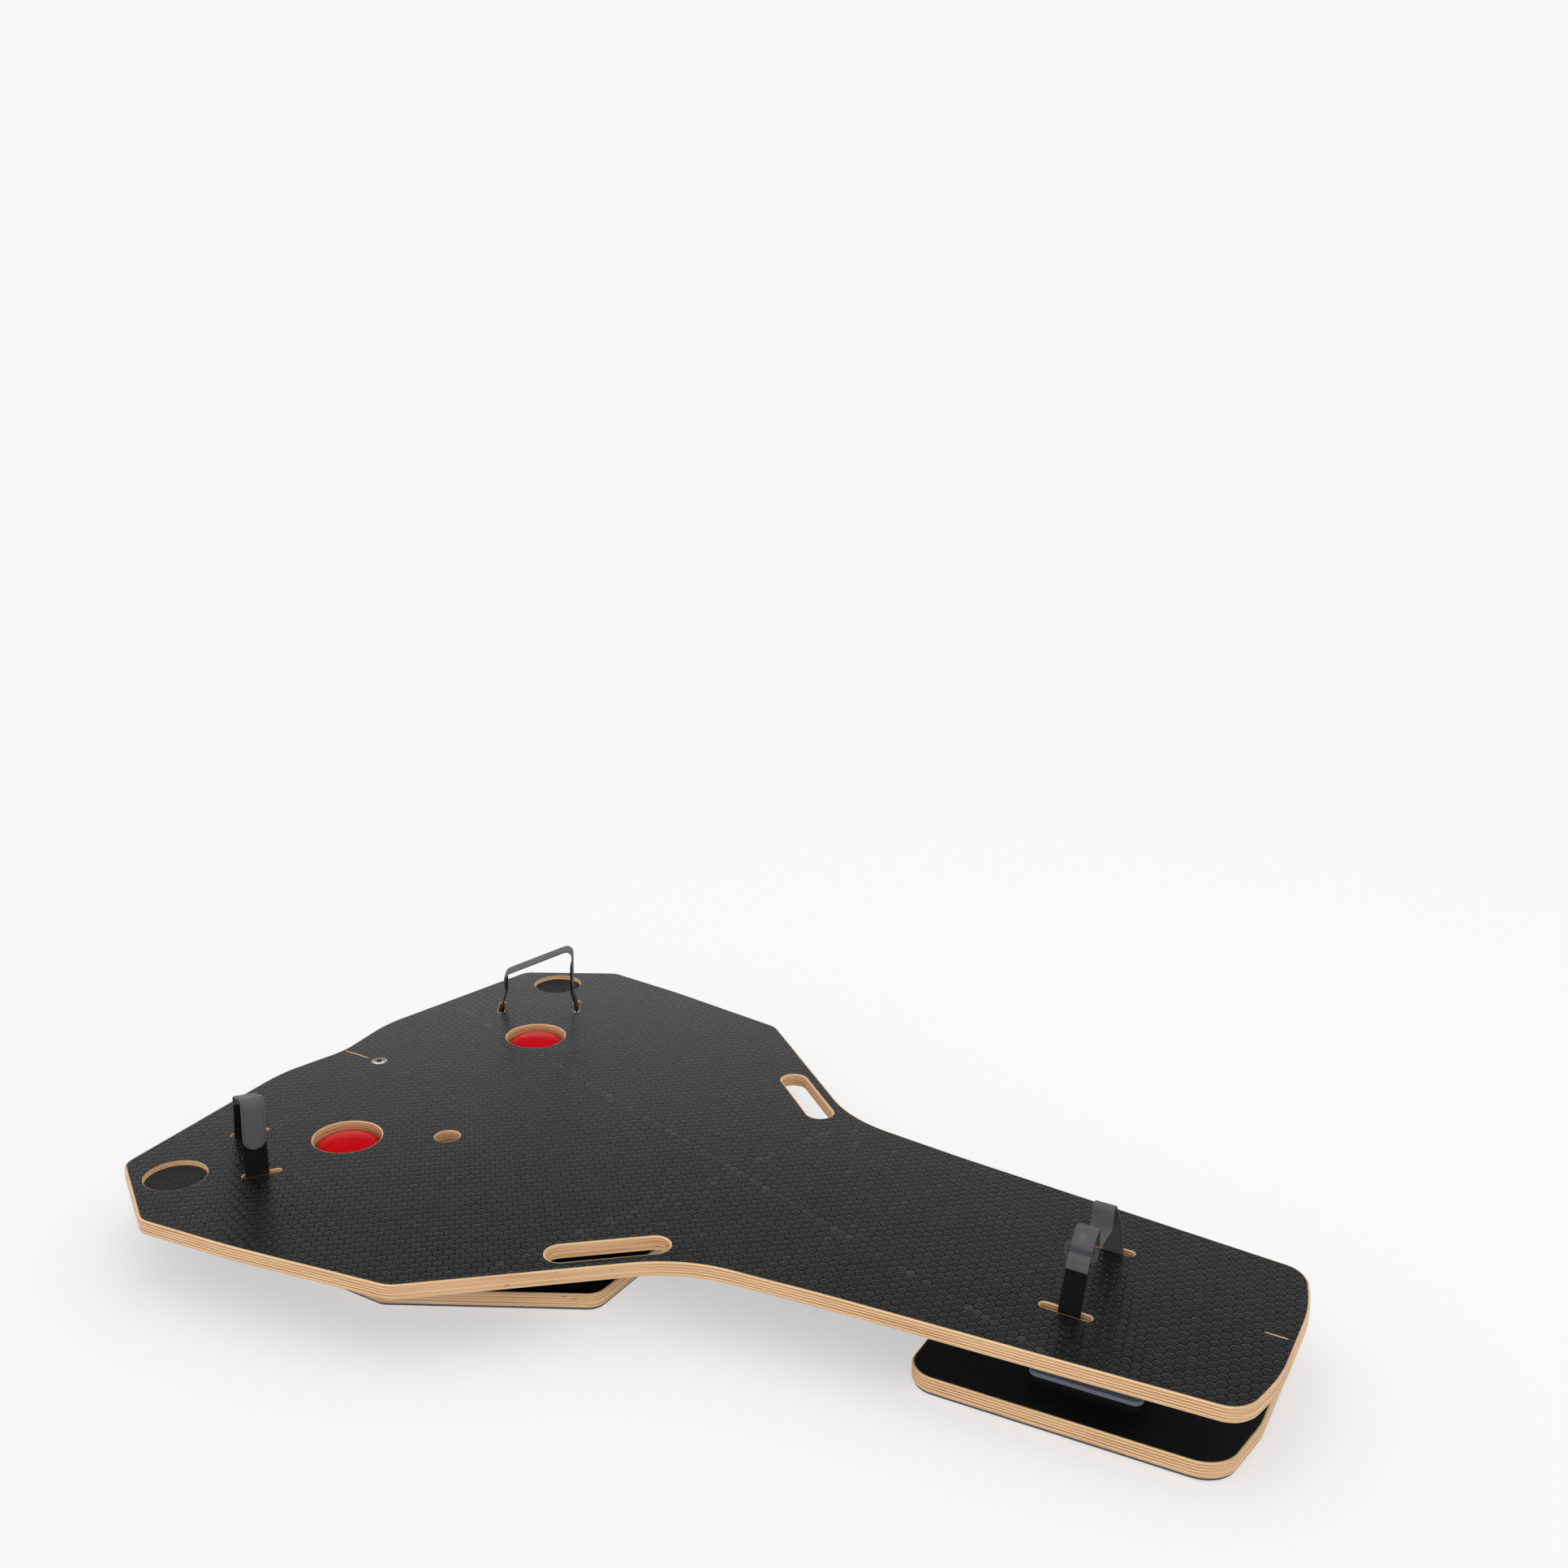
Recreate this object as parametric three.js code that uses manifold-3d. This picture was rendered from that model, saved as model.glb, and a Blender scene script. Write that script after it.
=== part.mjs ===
// Bicycle trainer rocker plate: a plywood deck that rolls from side to side on a shaft, is sprung by
// two inflatable balls, and slides to and fro on low-friction pads that lie on two floor plates.
// Millimetres. X is along the deck with the narrow nose at +X, Y is across it, Z is up from the floor.
// The origin is on the floor below the middle of the deck.

import * as THREE from 'three'
import { mergeVertices } from 'three/addons/utils/BufferGeometryUtils.js'
import Module from 'manifold-3d'

const wasm = await Module()
wasm.setup()

// Driving dimensions of the whole plate
const deckLength = 1367
const deckHalfWidth = 464
const plyThickness = 18
const underDeckGap = 48
const seat = 0.3
const slideTravel = 35
const runningGap = 0.15
const cutOverrun = 1
const edgeRound = 2.4

// Deck outline from the tail notch to the nose: share of the length, of the half width, and corner
// radius as a share of the length. The other half mirrors it.
const deckCornerShares = [
  [0.0117, 0, 0.088],
  [-0.0015, 0.222, 0.146],
  [0.0271, 0.836, 0.018],
  [0.1214, 1.0033, 0.022],
  [0.2162, 0.972, 0.44],
  [0.368, 0.8966, 0.028],
  [0.5428, 0.4386, 0.139],
  [0.6694, 0.3944, 0.66],
  [0.98, 0.3134, 0.024],
  [0.9909, 0.2688, 0.03],
  [1, 0.15, 0.19]
]

// The two outline corners, counted from the tail, that end the slanted side by the handle slots
const slantStart = 5
const slantEnd = 6

// Openings in the deck
const ballHoleRadius = 43.2
const handleWidth = 35
const handleLength = 140
const handleWeb = 16.8
const handleAlongShare = 0.75
const noseSlotWidth = 11
const noseSlotLength = 58
const tailSlotWidth = 9
const tailSlotLength = 46
const tailSlotDistance = 116
const tailSlotTurnDeg = 55.4
const footPocketRadius = 37
const footPocketDepth = 8
const cableHoleRadius = 16
const centreLineWidth = 2
const centreLineDepth = 0.8
const noseLineLength = 24
const noseLineInset = 9
const tailLineLength = 45
const tailLineInset = 19.5

// Places on the deck: share of its length ahead of the middle and share of its half width
const ballPlaceShares = [-0.34126, 0.41164]
const noseSlotPlaceShares = [0.33614, 0.15948]
const tailSlotPlaceShares = [-0.38954, 0.60776]
const footPocketPlaceShares = [-0.41551, 0.80647]
const cableHolePlaceShares = [-0.26298, -0.26293]
const frontPillowPlaceShares = [-0.13314, 0]
const nosePlaceShares = [0.36101, 0]

// Floor plates
const rearBaseLength = 609.5
const rearBaseHalfWidth = 350
const rearBaseEndHalfWidth = 227.5
const rearBaseSideLength = 173
const rearBaseSetback = 33.5
const baseCornerRadius = 25
const frontBaseLength = 353
const frontBaseRearHalfWidth = 170.5
const frontBaseFrontHalfWidth = 150
const frontBaseSetback = 15
const frontBaseRearRadius = 32
const frontBaseNoseBow = 15.5
const frontBaseNoseRadius = 38
const matThickness = 3
const matInset = 2.5

// Low-friction pads
const glideThickness = 4
const frontPadThickness = 5
const frontPadLength = 122
const frontPadInset = 55
const padCornerRadius = 10
const rearPadInset = 24

// Carriage
const carriageThickness = 8
const carriageHeadLength = 187
const carriageHeadRadius = 60
const carriageBallFront = 15
const carriageBallSide = 9.5
const carriageTongueHalfWidth = 60
const carriageTongueRadius = 12
const railWall = 19
const railLip = 7
const railLipThickness = 5
const railSideGap = 0.4
const railEndGap = 1
const railScrewRadius = 3
const railScrewHeadRadius = 6
const railScrewHeadHeight = 3.5
const railScrewCount = 2
const railScrewReach = 12
const stopLength = 20
const stopHalfWidth = 20
const stopHeight = 12
const stopGap = 1

// Roll shaft and its blocks
const axisAboveBase = 30
const shaftRadius = 8
const barrelRadius = 12
const bushingWall = 2
const pillowLength = 36
const hingeBarrelLength = 28
const washerThickness = 2.4
const shaftEndGap = 1
const blockFootHalfWidth = 35
const blockFootThickness = 6
const blockNeckHalfWidth = 9
const pillowBoltRadius = 4
const pillowBoltHeadRadius = 6.5
const pillowBoltHeadHeight = 5
const pillowBoltPlaceY = 25
const setScrewRadius = 2.5
const setScrewLength = 3
const rearPillowInset = 41
const frontPillowInset = 37
const hingeFootThickness = 6
const hingeFootHalfWidth = 32
const hingeScrewPlaceY = 22
const woodScrewRadius = 2.2
const woodScrewHeadRadius = 4.5
const woodScrewHeadHeight = 2.8
const woodScrewReach = 13

// Countersunk screw on the centre line
const centreScrewHeadRadius = 10.5
const centreScrewRadius = 5
const centreScrewSocketRadius = 3.5
const centreScrewSocketDepth = 4
const centreScrewBossRadius = 11
const centreScrewBossLength = 12
const centreScrewBossGap = 3.5

// Air balls and their cups
const ballBelly = 63.5
const ballSunk = 2
const cupInnerRadius = 59
const cupWall = 6
const cupHeight = 6
const ballPlugRadius = 4
const ballPlugLength = 7
const ballPlugSeatShare = 0.93
const ballPlugRise = 11

// Nose support
const noseShoeLength = 52
const noseShoeHalfWidth = 82
const noseShoeThickness = 6
const noseShoeRadius = 8
const clevisFootLength = 50
const clevisFootHalfWidth = 38
const clevisFootThickness = 5
const clevisEarThickness = 6
const clevisEarRadius = 9.5
const clevisScrewRadius = 2.5
const clevisScrewHeadRadius = 4.5
const clevisScrewHeadHeight = 3
const clevisScrewPlaceY = 28
const clevisScrewReach = 4
const nosePinRadius = 5
const nosePinOverhang = 5
const nosePinClipThickness = 1.2
const nosePinClipRadius = 8
const noseBarrelLength = 24
const noseFootOverhang = 4
const noseBlockSideGap = 0.6

// Straps, in the closed form that they take when fastened
const strapThickness = 2
const strapBendRadius = 4
const noseStrapWidth = 25
const noseStrapShift = 4
const noseStrapSideRise = 43
const noseStrapSideHalfWidth = 57
const ridgeRise = 77
const ridgeHalfWidth = 32
const ridgeWidth = 8
const troughDepth = 24
const troughDraft = 4
const buckleLength = 36
const buckleHeight = 16
const buckleThickness = 3
const buckleBar = 3.2
const buckleRise = 57
const tailStrapWidth = 28
const tailStrapShift = 5
const tailStrapHalfWidth = 50
const tailStrapWaistRise = 27
const tailStrapTopRise = 98
const tailStrapTopRadius = 12
const tailStrapEndRise = 30

// Foot pocket pads
const pocketPadThickness = 2

// Facets per full turn
const bigFacets = 48
const midFacets = 32
const smallFacets = 16
const slotFacets = 20
const hexFacets = 6
const arcStepDeg = 9

// Distance below which two points are one, and turn below which a corner is straight
const mergeTolerance = 1e-4
const straightTurn = 1e-6

// Heights worked out from the sizes above
const basePlateBottom = matThickness + seat
const basePlateTop = basePlateBottom + plyThickness
const deckBottom = basePlateTop + underDeckGap
const deckTop = deckBottom + plyThickness
const axisHeight = basePlateTop + axisAboveBase
const rearPadBottom = basePlateTop + seat
const carriageBottom = rearPadBottom + glideThickness + seat
const carriageTop = carriageBottom + carriageThickness
const padTop = basePlateTop + seat + frontPadThickness
const shoeBottom = padTop + seat
const shoeTop = shoeBottom + noseShoeThickness

const group = new THREE.Group()

// Materials
function paint (colour, roughness, metalness) {
  return new THREE.MeshStandardMaterial({ color: colour, roughness, metalness })
}

const filmPly = paint(0x2c2c2e, 0.45, 0)
const greyGlide = paint(0x9aa3bd, 0.5, 0)
const greyFoam = paint(0x8d8d95, 0.9, 0)
const redRubber = paint(0xd4101c, 0.25, 0)
const blackRubber = paint(0x1b1b1c, 0.8, 0)
const blackWebbing = paint(0x18181a, 0.85, 0)
const blackPlastic = paint(0x202022, 0.5, 0)
const stainless = paint(0xc9cbce, 0.3, 1)
const zincSteel = paint(0xa8abb0, 0.4, 1)
const blackSteel = paint(0x2a2b2e, 0.5, 0.8)
const bareAluminium = paint(0xb5b8bc, 0.4, 1)
const bronze = paint(0xa07a3c, 0.4, 1)

// Solids: a closed geometry becomes a manifold solid, is cut or joined, and comes back
function toSolid (geometry) {
  const bare = geometry.index ? geometry.toNonIndexed() : geometry.clone()
  bare.deleteAttribute('normal')
  bare.deleteAttribute('uv')
  const merged = mergeVertices(bare, mergeTolerance)
  const mesh = new wasm.Mesh({
    numProp: 3,
    vertProperties: new Float32Array(merged.attributes.position.array),
    triVerts: new Uint32Array(merged.index.array)
  })
  return new wasm.Manifold(mesh)
}

function fromSolid (solid) {
  const mesh = solid.getMesh()
  const geometry = new THREE.BufferGeometry()
  geometry.setAttribute('position', new THREE.BufferAttribute(mesh.vertProperties, mesh.numProp))
  geometry.setIndex(new THREE.BufferAttribute(mesh.triVerts, 1))
  const flat = geometry.toNonIndexed()
  flat.computeVertexNormals()
  return flat
}

function join (geometries) {
  return fromSolid(geometries.map(toSolid).reduce((sum, solid) => sum.add(solid)))
}

function cut (geometry, tools) {
  return fromSolid(tools.map(toSolid).reduce((rest, tool) => rest.subtract(tool), toSolid(geometry)))
}

function addPart (name, geometry, material) {
  const mesh = new THREE.Mesh(geometry, material)
  mesh.name = name
  group.add(mesh)
}

// Left is the +Y side
function addPair (name, make, material) {
  addPart(name + '_left', make(1), material)
  addPart(name + '_right', make(-1), material)
}

function addSeries (name, geometries, material) {
  geometries.forEach((geometry, index) => addPart(name + '_' + (index + 1), geometry, material))
}

// Basic shapes, each placed where it belongs
function boxAt (sizeX, sizeY, sizeZ, x, y, bottom) {
  return new THREE.BoxGeometry(sizeX, sizeY, sizeZ).translate(x, y, bottom + sizeZ / 2)
}

function uprightCylinder (radius, height, x, y, bottom, facets, topRadius = radius) {
  const shape = new THREE.CylinderGeometry(topRadius, radius, height, facets)
  return shape.rotateX(Math.PI / 2).translate(x, y, bottom + height / 2)
}

function lengthwiseCylinder (radius, length, x, y, z, facets) {
  return new THREE.CylinderGeometry(radius, radius, length, facets).rotateZ(Math.PI / 2).translate(x, y, z)
}

function ringAt (inner, outer, height, x, y, bottom, facets) {
  const profile = [
    new THREE.Vector2(inner, 0),
    new THREE.Vector2(outer, 0),
    new THREE.Vector2(outer, height),
    new THREE.Vector2(inner, height),
    new THREE.Vector2(inner, 0)
  ]
  return new THREE.LatheGeometry(profile, facets).rotateX(Math.PI / 2).translate(x, y, bottom)
}

// Outline with each corner [x, y, radius] rounded by an arc
function roundedPoints (corners) {
  const points = []
  corners.forEach(([x, y, radius], index) => {
    const before = corners[(index + corners.length - 1) % corners.length]
    const after = corners[(index + 1) % corners.length]
    const corner = new THREE.Vector2(x, y)
    const toBefore = new THREE.Vector2(before[0] - x, before[1] - y).normalize()
    const toAfter = new THREE.Vector2(after[0] - x, after[1] - y).normalize()
    const halfAngle = Math.acos(THREE.MathUtils.clamp(toBefore.dot(toAfter), -1, 1)) / 2
    const turn = Math.PI - 2 * halfAngle
    if (radius === 0 || turn < straightTurn) {
      points.push(corner)
      return
    }
    const bisector = toBefore.clone().add(toAfter).normalize()
    const centre = corner.clone().addScaledVector(bisector, radius / Math.sin(halfAngle))
    const start = corner.clone().addScaledVector(toBefore, radius / Math.tan(halfAngle))
    const startAngle = Math.atan2(start.y - centre.y, start.x - centre.x)
    const sign = Math.sign(toBefore.x * toAfter.y - toBefore.y * toAfter.x)
    const steps = Math.max(2, Math.ceil(THREE.MathUtils.radToDeg(turn) / arcStepDeg))
    for (let step = 0; step <= steps; step++) {
      const angle = startAngle - sign * turn * step / steps
      points.push(new THREE.Vector2(
        centre.x + radius * Math.cos(angle),
        centre.y + radius * Math.sin(angle)
      ))
    }
  })
  return points
}

function mirroredOutline (halfCorners) {
  const other = halfCorners.filter((corner) => corner[1] > 0).map(([x, y, radius]) => [x, -y, radius])
  return roundedPoints([...halfCorners, ...other.reverse()])
}

function rectangleCorners (length, halfWidth, x, y, radius) {
  return [
    [x - length / 2, y - halfWidth, radius],
    [x + length / 2, y - halfWidth, radius],
    [x + length / 2, y + halfWidth, radius],
    [x - length / 2, y + halfWidth, radius]
  ]
}

function roundedBox (length, halfWidth, height, x, y, bottom, radius) {
  return plateFrom(roundedPoints(rectangleCorners(length, halfWidth, x, y, radius)), [], height, bottom, 0)
}

// A slot with round ends, its long way turned from +X
function slotPoints (length, width, x, y, turn) {
  const halfRun = (length - width) / 2
  const points = []
  const steps = slotFacets / 2
  for (const end of [1, -1]) {
    for (let step = 0; step <= steps; step++) {
      const angle = -Math.PI / 2 + Math.PI * step / steps
      const local = new THREE.Vector2(
        end * (halfRun + width / 2 * Math.cos(angle)),
        end * width / 2 * Math.sin(angle)
      )
      points.push(local.rotateAround(new THREE.Vector2(), turn).add(new THREE.Vector2(x, y)))
    }
  }
  return points
}

function circlePoints (radius, x, y, facets) {
  return Array.from({ length: facets }, (unused, step) => {
    const angle = 2 * Math.PI * step / facets
    return new THREE.Vector2(x + radius * Math.cos(angle), y + radius * Math.sin(angle))
  })
}

// A flat plate from an outline and holes, with its edges rounded over where round is given
function plateFrom (outline, holes, thickness, bottom, round) {
  const shape = new THREE.Shape(outline)
  shape.holes = holes.map((points) => new THREE.Path(points))
  const plate = new THREE.ExtrudeGeometry(shape, {
    depth: thickness - 2 * round,
    bevelEnabled: round > 0,
    bevelThickness: round,
    bevelSize: round,
    bevelOffset: -round,
    bevelSegments: 2
  })
  return plate.translate(0, 0, bottom + round)
}

// A section in Y and Z extruded along X
function lengthwiseSection (points, holes, length, x, y, z) {
  const shape = new THREE.Shape(points)
  shape.holes = holes.map((hole) => new THREE.Path(hole))
  const bar = new THREE.ExtrudeGeometry(shape, { depth: length, bevelEnabled: false })
  bar.translate(0, 0, -length / 2)
  bar.rotateX(Math.PI / 2)
  bar.rotateZ(Math.PI / 2)
  return bar.translate(x, y, z)
}

function bothSides (place) {
  return [place(1), place(-1)]
}

// Deck
function deckX (share) {
  return (share - 1 / 2) * deckLength
}

const deckCorners = deckCornerShares.map(([along, across, round]) => {
  return [deckX(along), across * deckHalfWidth, round * deckLength]
})
const deckOutline = mirroredOutline(deckCorners)
const deckTailX = deckX(0)
const deckNoseX = deckX(1)
const tailSlotTurn = THREE.MathUtils.degToRad(tailSlotTurnDeg)

function placeOnDeck ([along, across]) {
  return [along * deckLength, across * deckHalfWidth]
}

const [ballPlaceX, ballPlaceY] = placeOnDeck(ballPlaceShares)
const [noseSlotPlaceX, noseSlotPlaceY] = placeOnDeck(noseSlotPlaceShares)
const [tailSlotPlaceX, tailSlotPlaceY] = placeOnDeck(tailSlotPlaceShares)
const [footPocketPlaceX, footPocketPlaceY] = placeOnDeck(footPocketPlaceShares)
const [cableHolePlaceX, cableHolePlaceY] = placeOnDeck(cableHolePlaceShares)
const [frontPillowPlaceX] = placeOnDeck(frontPillowPlaceShares)
const [nosePlaceX] = placeOnDeck(nosePlaceShares)

// The handle slot lies along the slanted side, one web in from its edge
const slantFrom = new THREE.Vector2(...deckCorners[slantStart])
const slantTo = new THREE.Vector2(...deckCorners[slantEnd])
const slantAlong = slantTo.clone().sub(slantFrom).normalize()
const handlePlace = slantFrom.clone().lerp(slantTo, handleAlongShare).add(
  new THREE.Vector2(slantAlong.y, -slantAlong.x).multiplyScalar(handleWeb + handleWidth / 2)
)

// Direction in which a tail strap runs, from its rear slot to its front slot
function acrossTailStrap (side) {
  return new THREE.Vector2(Math.sin(tailSlotTurn), side * Math.cos(tailSlotTurn))
}

function tailSlotCentres (side) {
  const across = acrossTailStrap(side)
  return [1, -1].map((end) => new THREE.Vector2(
    tailSlotPlaceX + end * across.x * tailSlotDistance / 2,
    side * tailSlotPlaceY + end * across.y * tailSlotDistance / 2
  ))
}

const deckHoles = [circlePoints(cableHoleRadius, cableHolePlaceX, cableHolePlaceY, midFacets)]
for (const side of [1, -1]) {
  deckHoles.push(circlePoints(ballHoleRadius, ballPlaceX, side * ballPlaceY, bigFacets))
  deckHoles.push(slotPoints(
    handleLength, handleWidth, handlePlace.x, side * handlePlace.y, side * slantAlong.angle()
  ))
  deckHoles.push(slotPoints(noseSlotLength, noseSlotWidth, noseSlotPlaceX, side * noseSlotPlaceY, 0))
  for (const centre of tailSlotCentres(side)) {
    deckHoles.push(slotPoints(tailSlotLength, tailSlotWidth, centre.x, centre.y, -side * tailSlotTurn))
  }
}

// Carriage and pivot places along the deck
const carriageFrontX = frontPillowPlaceX + frontPillowInset
const carriageHeadFrontX = ballPlaceX + ballBelly + carriageBallFront
const carriageHeadHalfWidth = ballPlaceY + ballBelly + carriageBallSide
const carriageRearX = carriageHeadFrontX - carriageHeadLength
const rearPillowPlaceX = carriageRearX + rearPillowInset
const rearWasherX = rearPillowPlaceX - pillowLength / 2 - washerThickness / 2 - seat
const frontWasherX = frontPillowPlaceX + pillowLength / 2 + washerThickness / 2 + seat
const rearHingeX = rearWasherX - washerThickness / 2 - seat - hingeBarrelLength / 2
const frontHingeX = frontWasherX + washerThickness / 2 + seat + hingeBarrelLength / 2
const centreScrewPlaceX = rearHingeX - hingeBarrelLength / 2 - centreScrewBossGap - centreScrewBossRadius

// Screw places under the deck: [x, y]
function hingeScrewPlaces (x) {
  return bothSides((side) => [x, side * hingeScrewPlaceY])
}

const rearHingeFootRearX = centreScrewPlaceX - centreScrewBossRadius
const rearHingeFootLength = rearHingeX + hingeBarrelLength / 2 - rearHingeFootRearX
const rearHingeFootX = rearHingeFootRearX + rearHingeFootLength / 2
const noseFootLength = noseBarrelLength + 2 * noseFootOverhang
const hingeScrewXs = [rearHingeX, frontHingeX]
const noseScrewPlaces = hingeScrewPlaces(nosePlaceX)

function centreLineGroove (start, length) {
  const depth = centreLineDepth + cutOverrun
  return boxAt(length, centreLineWidth, depth, start + length / 2, 0, deckTop - centreLineDepth)
}

function centreScrewConeHeight () {
  return centreScrewHeadRadius - centreScrewRadius
}

function centreScrewHole () {
  const through = uprightCylinder(
    centreScrewRadius + seat, plyThickness + 2 * cutOverrun, centreScrewPlaceX, 0,
    deckBottom - cutOverrun, midFacets
  )
  const height = centreScrewConeHeight()
  const cone = uprightCylinder(
    centreScrewRadius + seat, height + seat, centreScrewPlaceX, 0, deckTop - height - 2 * seat,
    midFacets, centreScrewHeadRadius + 2 * seat
  )
  const mouth = uprightCylinder(
    centreScrewHeadRadius + 2 * seat, cutOverrun + seat, centreScrewPlaceX, 0, deckTop - seat, midFacets
  )
  return [through, cone, mouth]
}

function pilotHole ([x, y]) {
  const depth = woodScrewReach + seat + cutOverrun
  return uprightCylinder(woodScrewRadius + seat, depth, x, y, deckBottom - cutOverrun, smallFacets)
}

function makeDeck () {
  const plate = plateFrom(deckOutline, deckHoles, plyThickness, deckBottom, edgeRound)
  const pocketTools = bothSides((side) => uprightCylinder(
    footPocketRadius, footPocketDepth + cutOverrun, footPocketPlaceX, side * footPocketPlaceY,
    deckTop - footPocketDepth, bigFacets
  ))
  return cut(plate, [
    ...pocketTools,
    centreLineGroove(deckNoseX - noseLineInset - noseLineLength, noseLineLength),
    centreLineGroove(deckTailX + tailLineInset, tailLineLength),
    ...centreScrewHole(),
    ...hingeScrewXs.flatMap(hingeScrewPlaces).map(pilotHole),
    ...noseScrewPlaces.map(pilotHole)
  ])
}

addPart('deck_plate', makeDeck(), filmPly)

// Rubber discs in the foot pockets
addPair('foot_pad', (side) => uprightCylinder(
  footPocketRadius - seat, pocketPadThickness, footPocketPlaceX, side * footPocketPlaceY,
  deckTop - footPocketDepth + seat, bigFacets
), blackRubber)

// Floor plates, each on a thin non-slip mat of its own outline drawn in a little
function floorPlate (corners) {
  return plateFrom(mirroredOutline(corners), [], plyThickness, basePlateBottom, edgeRound)
}

function floorMat (corners) {
  const outline = insetOutline(mirroredOutline(corners), matInset)
  return plateFrom(outline, [], matThickness, 0, 0)
}

// Each point of a closed outline moved inwards, square to its neighbours' line
function insetOutline (outline, inset) {
  return outline.map((point, index) => {
    const before = outline[(index + outline.length - 1) % outline.length]
    const after = outline[(index + 1) % outline.length]
    const along = after.clone().sub(before).normalize()
    return new THREE.Vector2(point.x + along.y * inset, point.y - along.x * inset)
  })
}

function rearBaseCorners () {
  const rearBasePlaceX = deckTailX + rearBaseSetback + rearBaseLength / 2
  const halfLength = rearBaseLength / 2
  const halfSide = rearBaseSideLength / 2
  return [
    [rearBasePlaceX - halfLength, rearBaseEndHalfWidth, baseCornerRadius],
    [rearBasePlaceX - halfSide, rearBaseHalfWidth, baseCornerRadius],
    [rearBasePlaceX + halfSide, rearBaseHalfWidth, baseCornerRadius],
    [rearBasePlaceX + halfLength, rearBaseEndHalfWidth, baseCornerRadius]
  ]
}

const railRearX = carriageHeadFrontX + slideTravel + carriageTongueRadius + railEndGap
const railFrontX = carriageFrontX + slideTravel
const railLength = railFrontX - railRearX
const railPlaceX = railRearX + railLength / 2
const railInnerY = carriageTongueHalfWidth + railSideGap
const railPlaceY = railInnerY + railWall / 2
const railTop = carriageTop + railSideGap + railLipThickness

function railScrewXs () {
  const pitch = railLength / railScrewCount
  return Array.from({ length: railScrewCount }, (unused, index) => {
    return railPlaceX - railLength / 2 + pitch * (index + 1 / 2)
  })
}

function railScrewHole (x, side) {
  const depth = railScrewReach + seat + cutOverrun
  const bottom = basePlateTop - railScrewReach - seat
  return uprightCylinder(railScrewRadius + seat, depth, x, side * railPlaceY, bottom, smallFacets)
}

const railScrewHoles = railScrewXs().flatMap((x) => bothSides((side) => railScrewHole(x, side)))
addPart('rear_base_plate', cut(floorPlate(rearBaseCorners()), railScrewHoles), filmPly)
addPart('rear_base_mat', floorMat(rearBaseCorners()), greyFoam)

const frontBaseNoseX = deckNoseX - frontBaseSetback
const frontBaseRearX = frontBaseNoseX - frontBaseLength
const deckNoseFlatHalfWidth = deckHalfWidth * deckCornerShares[deckCornerShares.length - 1][1]

function frontBaseCorners () {
  return [
    [frontBaseRearX, frontBaseRearHalfWidth, frontBaseRearRadius],
    [frontBaseNoseX - frontBaseNoseBow, frontBaseFrontHalfWidth, frontBaseNoseRadius],
    [frontBaseNoseX, deckNoseFlatHalfWidth, frontBaseNoseRadius]
  ]
}

addPart('front_base_plate', floorPlate(frontBaseCorners()), filmPly)
addPart('front_base_mat', floorMat(frontBaseCorners()), greyFoam)

// Grey pad on the front plate, its sides parallel to the plate's sides
function frontPadCorners () {
  const taper = (frontBaseRearHalfWidth - frontBaseFrontHalfWidth) / (frontBaseLength - frontBaseNoseBow)
  const halfWidthAt = (x) => frontBaseRearHalfWidth - taper * (x - frontBaseRearX) - frontPadInset
  const rearX = nosePlaceX - frontPadLength / 2
  const frontX = nosePlaceX + frontPadLength / 2
  return [
    [rearX, halfWidthAt(rearX), padCornerRadius],
    [frontX, halfWidthAt(frontX), padCornerRadius]
  ]
}

addPart(
  'front_glide_pad',
  plateFrom(mirroredOutline(frontPadCorners()), [], frontPadThickness, basePlateTop + seat, 0),
  greyGlide
)

// Carriage plate: a wide head under the balls and a tongue between the guide rails.
// The grey pad below it has the same form, longer by the travel at each end.
function carriageOutline (reach, headHalfWidth, tongueHalfWidth, headRadius, tongueRadius) {
  return mirroredOutline([
    [carriageRearX - reach, headHalfWidth, headRadius],
    [carriageHeadFrontX + reach, headHalfWidth, headRadius],
    [carriageHeadFrontX + reach, tongueHalfWidth, tongueRadius],
    [carriageFrontX + reach, tongueHalfWidth, tongueRadius]
  ])
}

const rearPadOutline = carriageOutline(
  slideTravel, carriageHeadHalfWidth - rearPadInset, carriageTongueHalfWidth - rearPadInset,
  carriageHeadRadius, padCornerRadius
)
addPart('rear_glide_pad', plateFrom(rearPadOutline, [], glideThickness, rearPadBottom, 0), greyGlide)

const pillowPlaces = [rearPillowPlaceX, frontPillowPlaceX]

function pillowBoltPlaces (x) {
  return bothSides((side) => [x, side * pillowBoltPlaceY])
}

function carriageBoltHole ([x, y]) {
  const depth = carriageThickness + 2 * cutOverrun
  return uprightCylinder(pillowBoltRadius + seat, depth, x, y, carriageBottom - cutOverrun, smallFacets)
}

const carriagePlate = plateFrom(
  carriageOutline(
    0, carriageHeadHalfWidth, carriageTongueHalfWidth, carriageHeadRadius, carriageTongueRadius
  ),
  [], carriageThickness, carriageBottom, 0
)
const carriageBoltHoles = pillowPlaces.flatMap(pillowBoltPlaces).map(carriageBoltHole)
addPart('carriage_plate', cut(carriagePlate, carriageBoltHoles), bareAluminium)

// Guide rails beside the tongue, each with a lip over it
function railSection (side) {
  const points = [
    [railInnerY, basePlateTop + seat],
    [railInnerY + railWall, basePlateTop + seat],
    [railInnerY + railWall, railTop],
    [railInnerY - railLip, railTop],
    [railInnerY - railLip, railTop - railLipThickness],
    [railInnerY, railTop - railLipThickness]
  ]
  return points.map(([y, z]) => new THREE.Vector2(side * y, z))
}

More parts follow.
